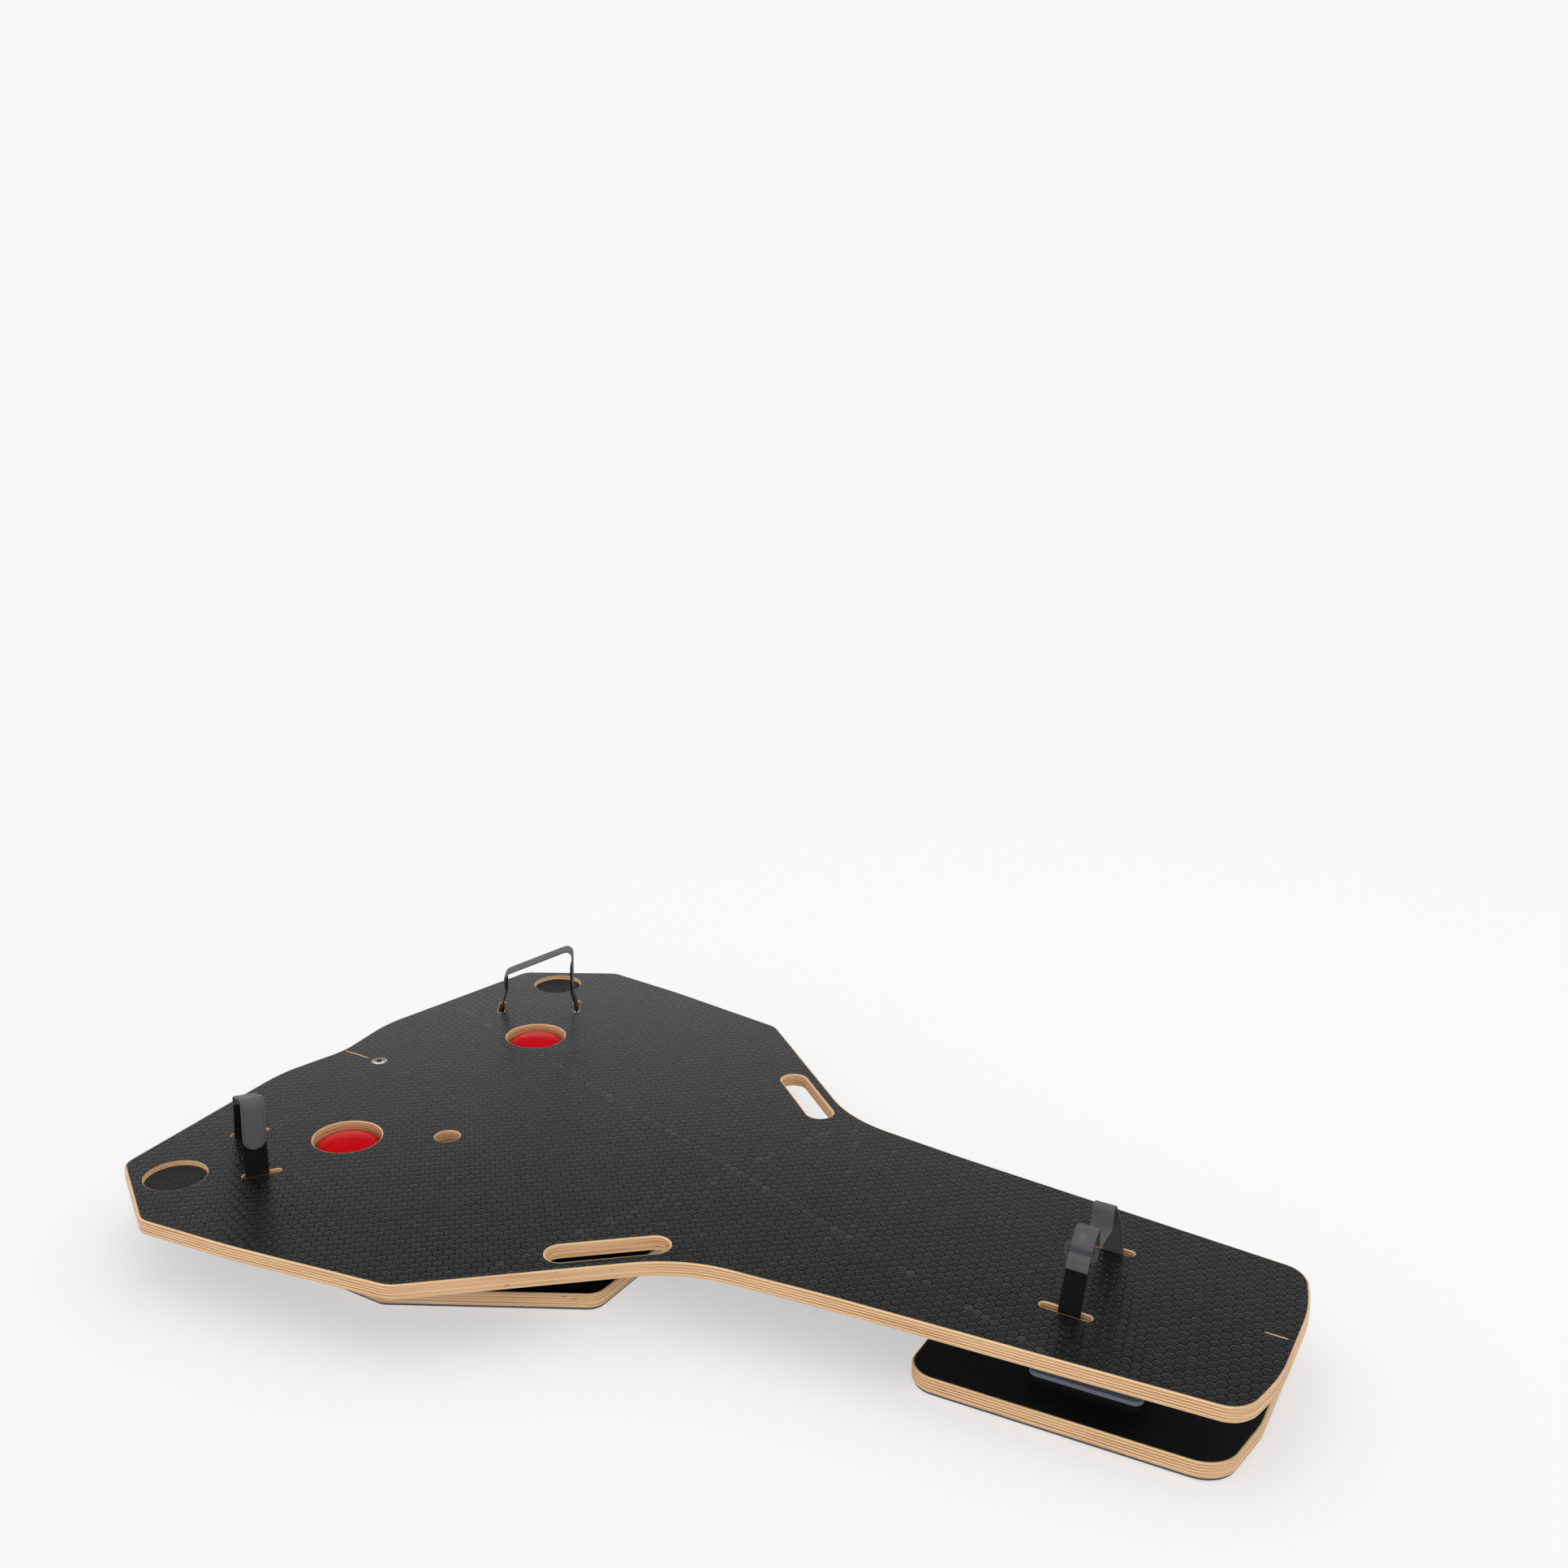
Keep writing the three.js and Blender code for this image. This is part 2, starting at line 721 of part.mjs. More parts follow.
function makeRail (side) {
  const bar = lengthwiseSection(railSection(side), [], railLength, railPlaceX, 0, 0)
  const height = railTop - basePlateTop + 2 * cutOverrun
  return cut(bar, railScrewXs().map((x) => uprightCylinder(
    railScrewRadius + seat, height, x, side * railPlaceY, basePlateTop - cutOverrun, smallFacets
  )))
}

addPair('guide_rail', makeRail, blackSteel)

// Screw with a flat round head: shank from tip up to the head's underside
function panScrew (x, y, tip, headBottom, radius, headRadius, headHeight, facets) {
  return join([
    uprightCylinder(radius, headBottom - tip + seat, x, y, tip, facets),
    uprightCylinder(headRadius, headHeight, x, y, headBottom, facets)
  ])
}

const railScrews = railScrewXs().flatMap((x) => bothSides((side) => panScrew(
  x, side * railPlaceY, basePlateTop - railScrewReach, railTop + seat,
  railScrewRadius, railScrewHeadRadius, railScrewHeadHeight, smallFacets
)))
addSeries('guide_rail_screw', railScrews, zincSteel)

// Rubber stops before and behind the carriage
const frontStopX = carriageFrontX + slideTravel + stopGap + stopLength / 2
const rearStopX = carriageRearX - slideTravel - stopGap - stopLength / 2

function makeStop (x) {
  return roundedBox(stopLength, stopHalfWidth, stopHeight, x, 0, rearPadBottom, stopLength / 4)
}

addPart('front_end_stop', makeStop(frontStopX), blackRubber)
addPart('rear_end_stop', makeStop(rearStopX), blackRubber)

// Shaft block section about the roll axis: a foot, a neck and a barrel round the bore
function blockSection (footFar, footNear, footHalfWidth, outerRadius) {
  const sign = Math.sign(footFar - footNear)
  const start = Math.acos(blockNeckHalfWidth / outerRadius)
  const points = [
    [-footHalfWidth, footFar],
    [footHalfWidth, footFar],
    [footHalfWidth, footNear],
    [blockNeckHalfWidth, footNear]
  ]
  const steps = midFacets / 2
  for (let step = 0; step <= steps; step++) {
    const angle = start - (Math.PI + 2 * start) * step / steps
    points.push([outerRadius * Math.cos(angle), sign * outerRadius * Math.sin(angle)])
  }
  points.push([-blockNeckHalfWidth, footNear], [-footHalfWidth, footNear])
  return points.map(([y, z]) => new THREE.Vector2(y, z))
}

// Pillow blocks on the carriage hold the shaft
function makePillow (x) {
  const footFar = carriageTop + seat - axisHeight
  const footNear = footFar + blockFootThickness
  const section = blockSection(footFar, footNear, blockFootHalfWidth, barrelRadius)
  const bore = circlePoints(shaftRadius + runningGap, 0, 0, midFacets)
  const block = lengthwiseSection(section, [bore], pillowLength, x, 0, axisHeight)
  const boltHoles = pillowBoltPlaces(x).map(([boltX, y]) => uprightCylinder(
    pillowBoltRadius + seat, blockFootThickness + 2 * cutOverrun, boltX, y,
    carriageTop - cutOverrun, smallFacets
  ))
  return cut(block, [...boltHoles, setScrewHole(x)])
}

function setScrewHole (x) {
  const bottom = axisHeight + shaftRadius - cutOverrun
  const height = barrelRadius - shaftRadius + 2 * cutOverrun
  return uprightCylinder(setScrewRadius + seat, height, x, 0, bottom, smallFacets)
}

addPart('rear_pillow_block', makePillow(rearPillowPlaceX), blackSteel)
addPart('front_pillow_block', makePillow(frontPillowPlaceX), blackSteel)

const pillowBoltHeadBottom = carriageTop + seat + blockFootThickness + seat
const pillowBolts = pillowPlaces.flatMap(pillowBoltPlaces).map(([x, y]) => panScrew(
  x, y, carriageBottom, pillowBoltHeadBottom,
  pillowBoltRadius, pillowBoltHeadRadius, pillowBoltHeadHeight, hexFacets
))
addSeries('pillow_block_bolt', pillowBolts, zincSteel)

const setScrews = pillowPlaces.map((x) => {
  return uprightCylinder(setScrewRadius, setScrewLength, x, 0, axisHeight + shaftRadius + seat, smallFacets)
})
addSeries('shaft_set_screw', setScrews, blackSteel)

// Roll shaft and the washers that take the push along it
const shaftRearX = rearHingeX - hingeBarrelLength / 2 - shaftEndGap
const shaftFrontX = frontHingeX + hingeBarrelLength / 2 + shaftEndGap
addPart(
  'roll_shaft',
  lengthwiseCylinder(
    shaftRadius, shaftFrontX - shaftRearX, (shaftFrontX + shaftRearX) / 2, 0, axisHeight, midFacets
  ),
  stainless
)

function lengthwiseRing (inner, outer, length, x) {
  const outline = circlePoints(outer, 0, 0, midFacets)
  const bore = circlePoints(inner, 0, 0, midFacets)
  return lengthwiseSection(outline, [bore], length, x, 0, axisHeight)
}

const washers = [rearWasherX, frontWasherX].map((x) => {
  return lengthwiseRing(shaftRadius + runningGap, barrelRadius, washerThickness, x)
})
addSeries('thrust_washer', washers, bronze)

// Hinge blocks under the deck turn on bushings on the shaft
const bushingOuter = shaftRadius + runningGap + bushingWall
const hingeBarrelRadius = barrelRadius + bushingWall
const hingeFootFar = deckBottom - seat - axisHeight
const hingeFootNear = hingeFootFar - hingeFootThickness

function hingeFootHoles (x) {
  return hingeScrewPlaces(x).map(([holeX, y]) => uprightCylinder(
    woodScrewRadius + seat, hingeFootThickness + 2 * cutOverrun, holeX, y,
    axisHeight + hingeFootNear - cutOverrun, smallFacets
  ))
}

function hingeFoot (length, x) {
  return boxAt(length, 2 * hingeFootHalfWidth, hingeFootThickness, x, 0, axisHeight + hingeFootNear)
}

function hingeBarrel (outerRadius, boreRadius, length, x) {
  const section = blockSection(hingeFootFar, hingeFootNear, hingeFootHalfWidth, outerRadius)
  return lengthwiseSection(section, [circlePoints(boreRadius, 0, 0, midFacets)], length, x, 0, axisHeight)
}

function makeRearHinge () {
  const bossBottom = axisHeight + hingeFootNear - centreScrewBossLength
  const boss = uprightCylinder(
    centreScrewBossRadius, centreScrewBossLength + hingeFootThickness, centreScrewPlaceX, 0,
    bossBottom, midFacets
  )
  const body = join([
    hingeBarrel(hingeBarrelRadius, bushingOuter + seat, hingeBarrelLength, rearHingeX),
    hingeFoot(rearHingeFootLength, rearHingeFootX),
    boss
  ])
  const screwHole = uprightCylinder(
    centreScrewRadius + seat, centreScrewBossLength + hingeFootThickness + 2 * cutOverrun,
    centreScrewPlaceX, 0, bossBottom - cutOverrun, smallFacets
  )
  return cut(body, [screwHole, ...hingeFootHoles(rearHingeX)])
}

function makeFrontHinge () {
  const body = hingeBarrel(hingeBarrelRadius, bushingOuter + seat, hingeBarrelLength, frontHingeX)
  return cut(body, hingeFootHoles(frontHingeX))
}

addPart('rear_hinge_block', makeRearHinge(), blackSteel)
addPart('front_hinge_block', makeFrontHinge(), blackSteel)

const bushings = [rearHingeX, frontHingeX].map((x) => {
  return lengthwiseRing(shaftRadius + runningGap, bushingOuter, hingeBarrelLength, x)
})
addSeries('hinge_bushing', bushings, bronze)

// Wood screw from below: head under the hinge block's foot
function woodScrew ([x, y]) {
  const headTop = axisHeight + hingeFootNear - seat
  const headBottom = headTop - woodScrewHeadHeight
  const shankLength = deckBottom + woodScrewReach - headTop + seat
  return join([
    uprightCylinder(woodScrewHeadRadius, woodScrewHeadHeight, x, y, headBottom, smallFacets),
    uprightCylinder(woodScrewRadius, shankLength, x, y, headTop - seat, smallFacets)
  ])
}

addSeries('hinge_block_screw', hingeScrewXs.flatMap(hingeScrewPlaces).map(woodScrew), zincSteel)

// Countersunk screw through the deck into the rear hinge block
function makeCentreScrew () {
  const coneHeight = centreScrewConeHeight()
  const tip = axisHeight + hingeFootNear - centreScrewBossLength
  const body = join([
    uprightCylinder(centreScrewRadius, deckTop - coneHeight - tip, centreScrewPlaceX, 0, tip, midFacets),
    uprightCylinder(
      centreScrewRadius, coneHeight, centreScrewPlaceX, 0, deckTop - coneHeight - seat, midFacets,
      centreScrewHeadRadius
    )
  ])
  const socket = uprightCylinder(
    centreScrewSocketRadius, centreScrewSocketDepth + cutOverrun, centreScrewPlaceX, 0,
    deckTop - seat - centreScrewSocketDepth, hexFacets
  )
  return cut(body, [socket])
}

addPart('centre_screw', makeCentreScrew(), stainless)

// Air balls: flat below, wide in the gap, and bulging up into the deck's holes.
// Each profile point is a share of the belly radius and a share of its own height zone.
const ballBottom = carriageTop + seat
const ballTop = deckTop - ballSunk
const ballGapShares = [[0.5, 0], [0.78, 0.07], [0.95, 0.26], [1, 0.5], [0.95, 0.76], [0.8, 0.94]]
const ballDomeShares = [[0.97, 0], [0.955, 0.22], [0.9, 0.52], [0.74, 0.78], [0.42, 0.95], [0, 1]]

function ballProfile () {
  const gap = deckBottom - seat - ballBottom
  const neckRadius = ballHoleRadius - seat
  const dome = ballTop - deckBottom
  const low = ballGapShares.map(([out, up]) => new THREE.Vector2(out * ballBelly, up * gap))
  const neckHeight = gap + seat
  const high = ballDomeShares.map(([out, up]) => new THREE.Vector2(out * neckRadius, neckHeight + up * dome))
  return [new THREE.Vector2(0, 0), ...low, ...high]
}

// The valve plug faces the middle of the deck
function ballPlugAt (side, radius, length) {
  const y = side * (ballPlaceY - ballPlugSeatShare * ballBelly)
  const plug = new THREE.CylinderGeometry(radius, radius, length, smallFacets)
  return plug.translate(ballPlaceX, y, ballBottom + ballPlugRise)
}

function makeBall (side) {
  const ball = new THREE.LatheGeometry(ballProfile(), bigFacets).rotateX(Math.PI / 2)
  ball.translate(ballPlaceX, side * ballPlaceY, ballBottom)
  return cut(ball, [ballPlugAt(side, ballPlugRadius + seat, ballPlugLength + 2 * seat)])
}

addPair('air_ball', makeBall, redRubber)
addPair('ball_plug', (side) => ballPlugAt(side, ballPlugRadius, ballPlugLength), redRubber)

// Cups that keep the balls in place on the carriage
addPair('ball_cup', (side) => ringAt(
  cupInnerRadius, cupInnerRadius + cupWall, cupHeight, ballPlaceX, side * ballPlaceY,
  carriageTop + seat, bigFacets
), blackPlastic)

// Nose support: a shoe slides on the grey pad and carries a clevis, whose pin lets the deck roll
const clevisScrewPlaces = bothSides((side) => [nosePlaceX, side * clevisScrewPlaceY])

function makeShoe () {
  const shoe = roundedBox(
    noseShoeLength, noseShoeHalfWidth, noseShoeThickness, nosePlaceX, 0, shoeBottom, noseShoeRadius
  )
  return cut(shoe, clevisScrewPlaces.map(([x, y]) => uprightCylinder(
    clevisScrewRadius + seat, clevisScrewReach + seat + cutOverrun, x, y,
    shoeTop - clevisScrewReach - seat, smallFacets
  )))
}

addPart('nose_shoe', makeShoe(), blackPlastic)

const clevisBottom = shoeTop + seat
const clevisFootTop = clevisBottom + clevisFootThickness
const clevisEarX = noseBarrelLength / 2 + noseBlockSideGap + clevisEarThickness / 2

function clevisEar (x) {
  const section = blockSection(
    clevisBottom - axisHeight, clevisFootTop - axisHeight, clevisFootHalfWidth, clevisEarRadius
  )
  const bore = circlePoints(nosePinRadius + runningGap, 0, 0, midFacets)
  return lengthwiseSection(section, [bore], clevisEarThickness, x, 0, axisHeight)
}

function makeClevis () {
  const foot = boxAt(
    clevisFootLength, 2 * clevisFootHalfWidth, clevisFootThickness, nosePlaceX, 0, clevisBottom
  )
  const body = join([foot, clevisEar(nosePlaceX - clevisEarX), clevisEar(nosePlaceX + clevisEarX)])
  return cut(body, clevisScrewPlaces.map(([x, y]) => uprightCylinder(
    clevisScrewRadius + seat, clevisFootThickness + 2 * cutOverrun, x, y,
    clevisBottom - cutOverrun, smallFacets
  )))
}

addPart('nose_clevis', makeClevis(), blackSteel)

const clevisScrews = clevisScrewPlaces.map(([x, y]) => panScrew(
  x, y, shoeTop - clevisScrewReach, clevisFootTop + seat,
  clevisScrewRadius, clevisScrewHeadRadius, clevisScrewHeadHeight, smallFacets
))
addSeries('nose_clevis_screw', clevisScrews, zincSteel)

const nosePinHalf = clevisEarX + clevisEarThickness / 2 + nosePinOverhang
addPart(
  'nose_pin',
  lengthwiseCylinder(nosePinRadius, 2 * nosePinHalf, nosePlaceX, 0, axisHeight, midFacets),
  stainless
)

const clipX = clevisEarX + clevisEarThickness / 2 + seat + nosePinClipThickness / 2
const clips = bothSides((side) => lengthwiseRing(
  nosePinRadius + runningGap, nosePinClipRadius, nosePinClipThickness, nosePlaceX + side * clipX
))
addSeries('nose_pin_clip', clips, zincSteel)

const noseBarrel = hingeBarrel(clevisEarRadius, nosePinRadius + runningGap, noseBarrelLength, nosePlaceX)
addPart(
  'nose_hinge_block',
  cut(join([noseBarrel, hingeFoot(noseFootLength, nosePlaceX)]), hingeFootHoles(nosePlaceX)),
  blackSteel
)
addSeries('nose_block_screw', noseScrewPlaces.map(woodScrew), zincSteel)

// Straps: a band of webbing that follows a path in its own upright plane
function bandSection (corners, closed) {
  const path = roundedPath(corners, closed)
  const half = strapThickness / 2
  const left = []
  const right = []
  path.forEach((point, index) => {
    const before = closed ? path[(index + path.length - 1) % path.length] : path[Math.max(index - 1, 0)]
    const after = closed ? path[(index + 1) % path.length] : path[Math.min(index + 1, path.length - 1)]
    const along = after.clone().sub(before).normalize()
    const normal = new THREE.Vector2(-along.y, along.x)
    left.push(point.clone().addScaledVector(normal, half))
    right.push(point.clone().addScaledVector(normal, -half))
  })
  return { left, right }
}

// Path through corners [across, up, radius]; an open path keeps its two ends
function roundedPath (corners, closed) {
  if (closed) {
    return roundedPoints(corners)
  }
  const [first] = corners
  const last = corners[corners.length - 1]
  const inner = roundedPoints(corners.map(([x, y, radius], index) => {
    const end = index === 0 || index === corners.length - 1
    return [x, y, end ? 0 : radius]
  }))
  inner[0] = new THREE.Vector2(first[0], first[1])
  inner[inner.length - 1] = new THREE.Vector2(last[0], last[1])
  return inner
}

function bandGeometry (corners, closed, width) {
  const { left, right } = bandSection(corners, closed)
  const shape = closed ? new THREE.Shape(right) : new THREE.Shape([...left, ...right.reverse()])
  if (closed) {
    shape.holes = [new THREE.Path(left)]
  }
  const band = new THREE.ExtrudeGeometry(shape, { depth: width, bevelEnabled: false })
  return band.translate(0, 0, -width / 2).rotateX(Math.PI / 2)
}

// Strap paths in their own plane: [across, up, bend radius], up measured from the deck's top
const strapUnder = -plyThickness - seat - strapThickness / 2

// The front strap has a ridge on each side and dips between them
const noseStrapHalfPath = [
  [noseSlotPlaceY, strapUnder, strapBendRadius],
  [noseSlotPlaceY, 0, strapBendRadius],
  [noseStrapSideHalfWidth, noseStrapSideRise, strapBendRadius],
  [ridgeHalfWidth, ridgeRise, strapThickness],
  [ridgeHalfWidth - ridgeWidth, ridgeRise, strapThickness],
  [ridgeHalfWidth - ridgeWidth - troughDraft, ridgeRise - troughDepth, strapBendRadius]
]

function mirroredPath (halfPath) {
  return [...halfPath, ...halfPath.map(([across, up, radius]) => [-across, up, radius]).reverse()]
}

const noseStrapPlaceX = noseSlotPlaceX + noseStrapShift
const noseStrap = bandGeometry(mirroredPath(noseStrapHalfPath), true, noseStrapWidth)
addPart('front_strap', noseStrap.rotateZ(Math.PI / 2).translate(noseStrapPlaceX, 0, deckTop), blackWebbing)

// Ladder buckle: a frame with a middle bar, flat against the strap's near side
function makeBuckle () {
  const frame = boxAt(buckleLength, buckleThickness, buckleHeight, 0, 0, -buckleHeight / 2)
  const windowHeight = (buckleHeight - 3 * buckleBar) / 2
  const windowRise = (windowHeight + buckleBar) / 2
  const windows = [1, -1].map((end) => boxAt(
    buckleLength - 2 * buckleBar, buckleThickness + 2 * cutOverrun, windowHeight, 0, 0,
    end * windowRise - windowHeight / 2
  ))
  return cut(frame, windows)
}

const buckleLean = Math.atan2(noseStrapSideHalfWidth - ridgeHalfWidth, ridgeRise - noseStrapSideRise)
const buckleAcross = noseStrapSideHalfWidth - (buckleRise - noseStrapSideRise) * Math.tan(buckleLean)
const buckleOut = strapThickness / 2 + seat + buckleThickness / 2
const buckle = makeBuckle().rotateX(-buckleLean).translate(
  noseStrapPlaceX,
  -buckleAcross - buckleOut * Math.cos(buckleLean),
  deckTop + buckleRise + buckleOut * Math.sin(buckleLean)
)
addPart('front_strap_buckle', buckle, blackPlastic)

// Rear straps: one turn, with the hook-and-loop end lying on the front side
const tailSlotHalf = tailSlotDistance / 2
const strapLayer = strapThickness + seat
const tailStrapPath = [
  [tailStrapHalfWidth, (tailStrapEndRise + tailStrapTopRise) / 2, 0],
  [tailStrapHalfWidth, tailStrapWaistRise, strapBendRadius],
  [tailSlotHalf, 0, strapBendRadius],
  [tailSlotHalf, strapUnder, strapBendRadius],
  [-tailSlotHalf, strapUnder, strapBendRadius],
  [-tailSlotHalf, 0, strapBendRadius],
  [-tailStrapHalfWidth, tailStrapWaistRise, strapBendRadius],
  [-tailStrapHalfWidth, tailStrapTopRise, tailStrapTopRadius],
  [tailStrapHalfWidth + strapLayer, tailStrapTopRise, tailStrapTopRadius],
  [tailStrapHalfWidth + strapLayer, tailStrapEndRise, 0]
]

// Tool that leaves the strap's end round: a slab with a half-round notch
function roundEndTool () {
  const half = tailStrapWidth / 2
  const slab = boxAt(
    2 * strapLayer, tailStrapWidth + 2 * cutOverrun, half + cutOverrun, 0, 0, -cutOverrun
  )
  const disc = new THREE.CylinderGeometry(half, half, 3 * strapLayer, midFacets).rotateZ(Math.PI / 2)
  const outerFace = tailStrapHalfWidth + strapLayer + strapThickness / 2
  return cut(slab, [disc.translate(0, 0, half)]).translate(
    outerFace + strapLayer - strapThickness - seat / 2, 0, tailStrapEndRise
  )
}

function makeTailStrap (side) {
  const strap = cut(bandGeometry(tailStrapPath, false, tailStrapWidth), [roundEndTool()])
  const across = acrossTailStrap(side)
  strap.translate(0, side * tailStrapShift, 0).rotateZ(Math.atan2(across.y, across.x))
  return strap.translate(tailSlotPlaceX, side * tailSlotPlaceY, deckTop)
}

addPair('rear_strap', makeTailStrap, blackWebbing)

export default group
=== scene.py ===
"""Bicycle trainer rocker plate: the look of every piece, made round its packed frame.

Metres. X runs along the deck with the narrow nose at +X, Y runs across it, Z is up from the floor.
"""

import math

import bmesh
import bpy
from bpy.props import FloatProperty, FloatVectorProperty, IntProperty, PointerProperty
from mathutils import Matrix, Vector, noise
from mathutils.geometry import tessellate_polygon


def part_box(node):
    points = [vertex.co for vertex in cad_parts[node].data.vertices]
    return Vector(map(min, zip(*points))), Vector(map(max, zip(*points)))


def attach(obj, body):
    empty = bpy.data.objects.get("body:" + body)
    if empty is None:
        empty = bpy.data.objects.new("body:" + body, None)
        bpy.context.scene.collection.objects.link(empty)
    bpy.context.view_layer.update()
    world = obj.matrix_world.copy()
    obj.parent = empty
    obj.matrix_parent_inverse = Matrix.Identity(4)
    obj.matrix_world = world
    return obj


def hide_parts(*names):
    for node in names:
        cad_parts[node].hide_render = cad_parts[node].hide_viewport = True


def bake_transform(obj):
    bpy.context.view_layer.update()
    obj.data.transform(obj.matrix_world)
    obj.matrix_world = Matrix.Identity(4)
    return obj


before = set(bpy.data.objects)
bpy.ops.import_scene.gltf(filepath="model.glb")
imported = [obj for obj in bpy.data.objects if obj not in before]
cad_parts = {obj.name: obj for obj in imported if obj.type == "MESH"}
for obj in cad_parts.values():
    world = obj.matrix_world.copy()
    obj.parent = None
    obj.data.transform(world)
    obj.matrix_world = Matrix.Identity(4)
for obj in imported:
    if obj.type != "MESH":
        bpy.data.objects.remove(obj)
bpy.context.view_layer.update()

bl_info = {
    "name": "Trainer Rocker Plate",
    "version": (1, 0, 0),
    "blender": (4, 5, 0),
    "location": "3D View > Sidebar > Rocker Plate",
    "description": "Makes a rocker plate with its deck, floor plates, air balls and straps",
    "category": "Add Mesh",
}

# Heights of the main faces, from the frame
DECK_LOW, DECK_HIGH = (corner[2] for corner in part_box("deck_plate"))
BASE_LOW, BASE_HIGH = (corner[2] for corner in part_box("rear_base_plate"))
PLY_THICKNESS = DECK_HIGH - DECK_LOW

# Deck: length, half width, and corners from the tail notch to the nose as shares of them,
# each with its corner radius as a share of the length
DECK_LENGTH = 1.367
DECK_HALF_WIDTH = 0.464
DECK_CORNER_SHARES = (
    (0.0117, 0, 0.088), (-0.0015, 0.222, 0.146), (0.0271, 0.836, 0.018), (0.1214, 1.0033, 0.022),
    (0.2162, 0.972, 0.44), (0.368, 0.8966, 0.028), (0.5428, 0.4386, 0.139), (0.6694, 0.3944, 0.66),
    (0.98, 0.3134, 0.024), (0.9909, 0.2688, 0.03), (1.0005, 0.15, 0.19),
)
SLANT_CORNERS = (5, 6)

# Openings in the deck: places of the left ones, sizes as (length, width), turns,
# and the radius of each rounded edge
BALL_PLACE = (-0.4665, 0.191)
BALL_HOLE_RADIUS = 0.0432
BALL_HOLE_EDGE = 0.0016
HANDLE_SIZE = (0.140, 0.035)
HANDLE_WEB = 0.0168
HANDLE_ALONG_SHARE = 0.75
NOSE_SLOT_PLACE = (0.4595, 0.074)
NOSE_SLOT_SIZE = (0.058, 0.011)
NOSE_SLOT_EDGE = 0.0014
TAIL_SLOT_PLACE = (-0.5325, 0.282)
TAIL_SLOT_SIZE = (0.046, 0.009)
TAIL_SLOT_DISTANCE = 0.116
TAIL_SLOT_TURN = math.radians(55.4)
TAIL_SLOT_EDGE = 0.0012
POCKET_PLACE = (-0.568, 0.3742)
POCKET_RADIUS = 0.037
POCKET_DEPTH = 0.008
POCKET_EDGE = 0.0008
CABLE_HOLE = (-0.3595, -0.122, 0.016)
CABLE_HOLE_EDGE = 0.0012
CENTRE_LINES = ((0.6505, 0.6745), (-0.664, -0.619))
CENTRE_LINE_SIZE = (0.002, 0.0008)
CENTRE_LINE_EDGE = 0.0001
# Seat of the centre screw: outwards from the head's rim, and depth
SCREW_SEAT = ((0.0005, 0), (0.0003, 0.0004), (-0.0054, 0.0064), (-0.0054, PLY_THICKNESS))

# Turn of the film's hexagons, which don't run square to the deck
FILM_TURN = math.radians(18.5)

# Floor plates: corners (x, y, radius) of their left halves, and their mats
BASE_CORNERS = {
    "rear": (
        (-0.65, 0.2275, 0.025), (-0.43175, 0.350, 0.025),
        (-0.25875, 0.350, 0.025), (-0.0405, 0.2275, 0.025),
    ),
    "front": ((0.3155, 0.1705, 0.032), (0.6535, 0.1505, 0.042), (0.669, 0.060, 0.12)),
}
MAT_INSET = 0.0025
MAT_EDGE = 0.0006

# Pads: widths of their broken edges; ridges of the round ones as shares of the radius,
# and the groove inside each as (inwards, down)
GLIDE_PAD_EDGE = 0.0009
FOOT_PAD_EDGE = 0.0006
FOOT_PAD_LOW_EDGE = 0.0004
FOOT_PAD_RIDGES = (0.86, 0.66, 0.46, 0.26)
FOOT_PAD_GROOVE = ((0, 0), (0.0007, 0.0006), (0.0019, 0.0006), (0.0026, 0))

# Air balls: least distance between two rings, radius at the poles, and width of the plug's broken
# edge
BALL_RING_GAP = 0.0006
BALL_POLE_RADIUS = 0.0004
PLUG_EDGE = 0.0004
# Their folds: radius inside which they fade, stretch along Z and scale of the pattern, share and
# scale of the finer folds, distance between the two balls' patterns, height and mean depth
FOLD_FADE = 0.02
FOLD_STRETCH = 0.4
FOLD_SCALE = 42
FINE_FOLDS = (0.5, 2.3)
FOLD_SHIFT = 7
FOLD_HEIGHT = 0.55
FOLD_DEPTH = 0.6
# Their mould seam: place as a share of the ball's height, sharpness and depth
MOULD_SEAM_SHARE = 0.52
MOULD_SEAM_SHARPNESS = 60
MOULD_SEAM_DEPTH = 0.35

# Straps: section, height of the webbing's middle under the deck, bend in the slots, steps of the
# webbing and of the seams along the path, and how far out the seams lie as a share of half a strap
STRAP_THICKNESS = 0.002
STRAP_SOFT_SHARE = 0.9
STRAP_CROWN = 0.05
STRAP_GAP = 0.0003
STRAP_UNDER = -PLY_THICKNESS - STRAP_GAP - STRAP_THICKNESS / 2
STRAP_BEND = 0.004
STRAP_ARC_STEP = math.radians(12)
STRAP_STEP = 0.003
SEAM_STEP = 0.002
SEAM_OUT_SHARE = 1.02

# Front strap: corners of its path as (across, up from the deck's top, bend radius), where its two
# ends lie under the deck, and the sewing along its edges
NOSE_STRAP_X = 0.4635
NOSE_STRAP_WIDTH = 0.025
NOSE_STRAP_HIP = (0.057, 0.043, 0.010)
NOSE_STRAP_RIDGE = ((0.032, 0.077, 0.004), (0.024, 0.077, 0.003), (0.020, 0.053, 0.005))
NOSE_STRAP_SHORT_END = -0.02
NOSE_STRAP_LONG_END = -0.018
NOSE_SEAM_INSET = 0.002
NOSE_SEAM_START = 0.118

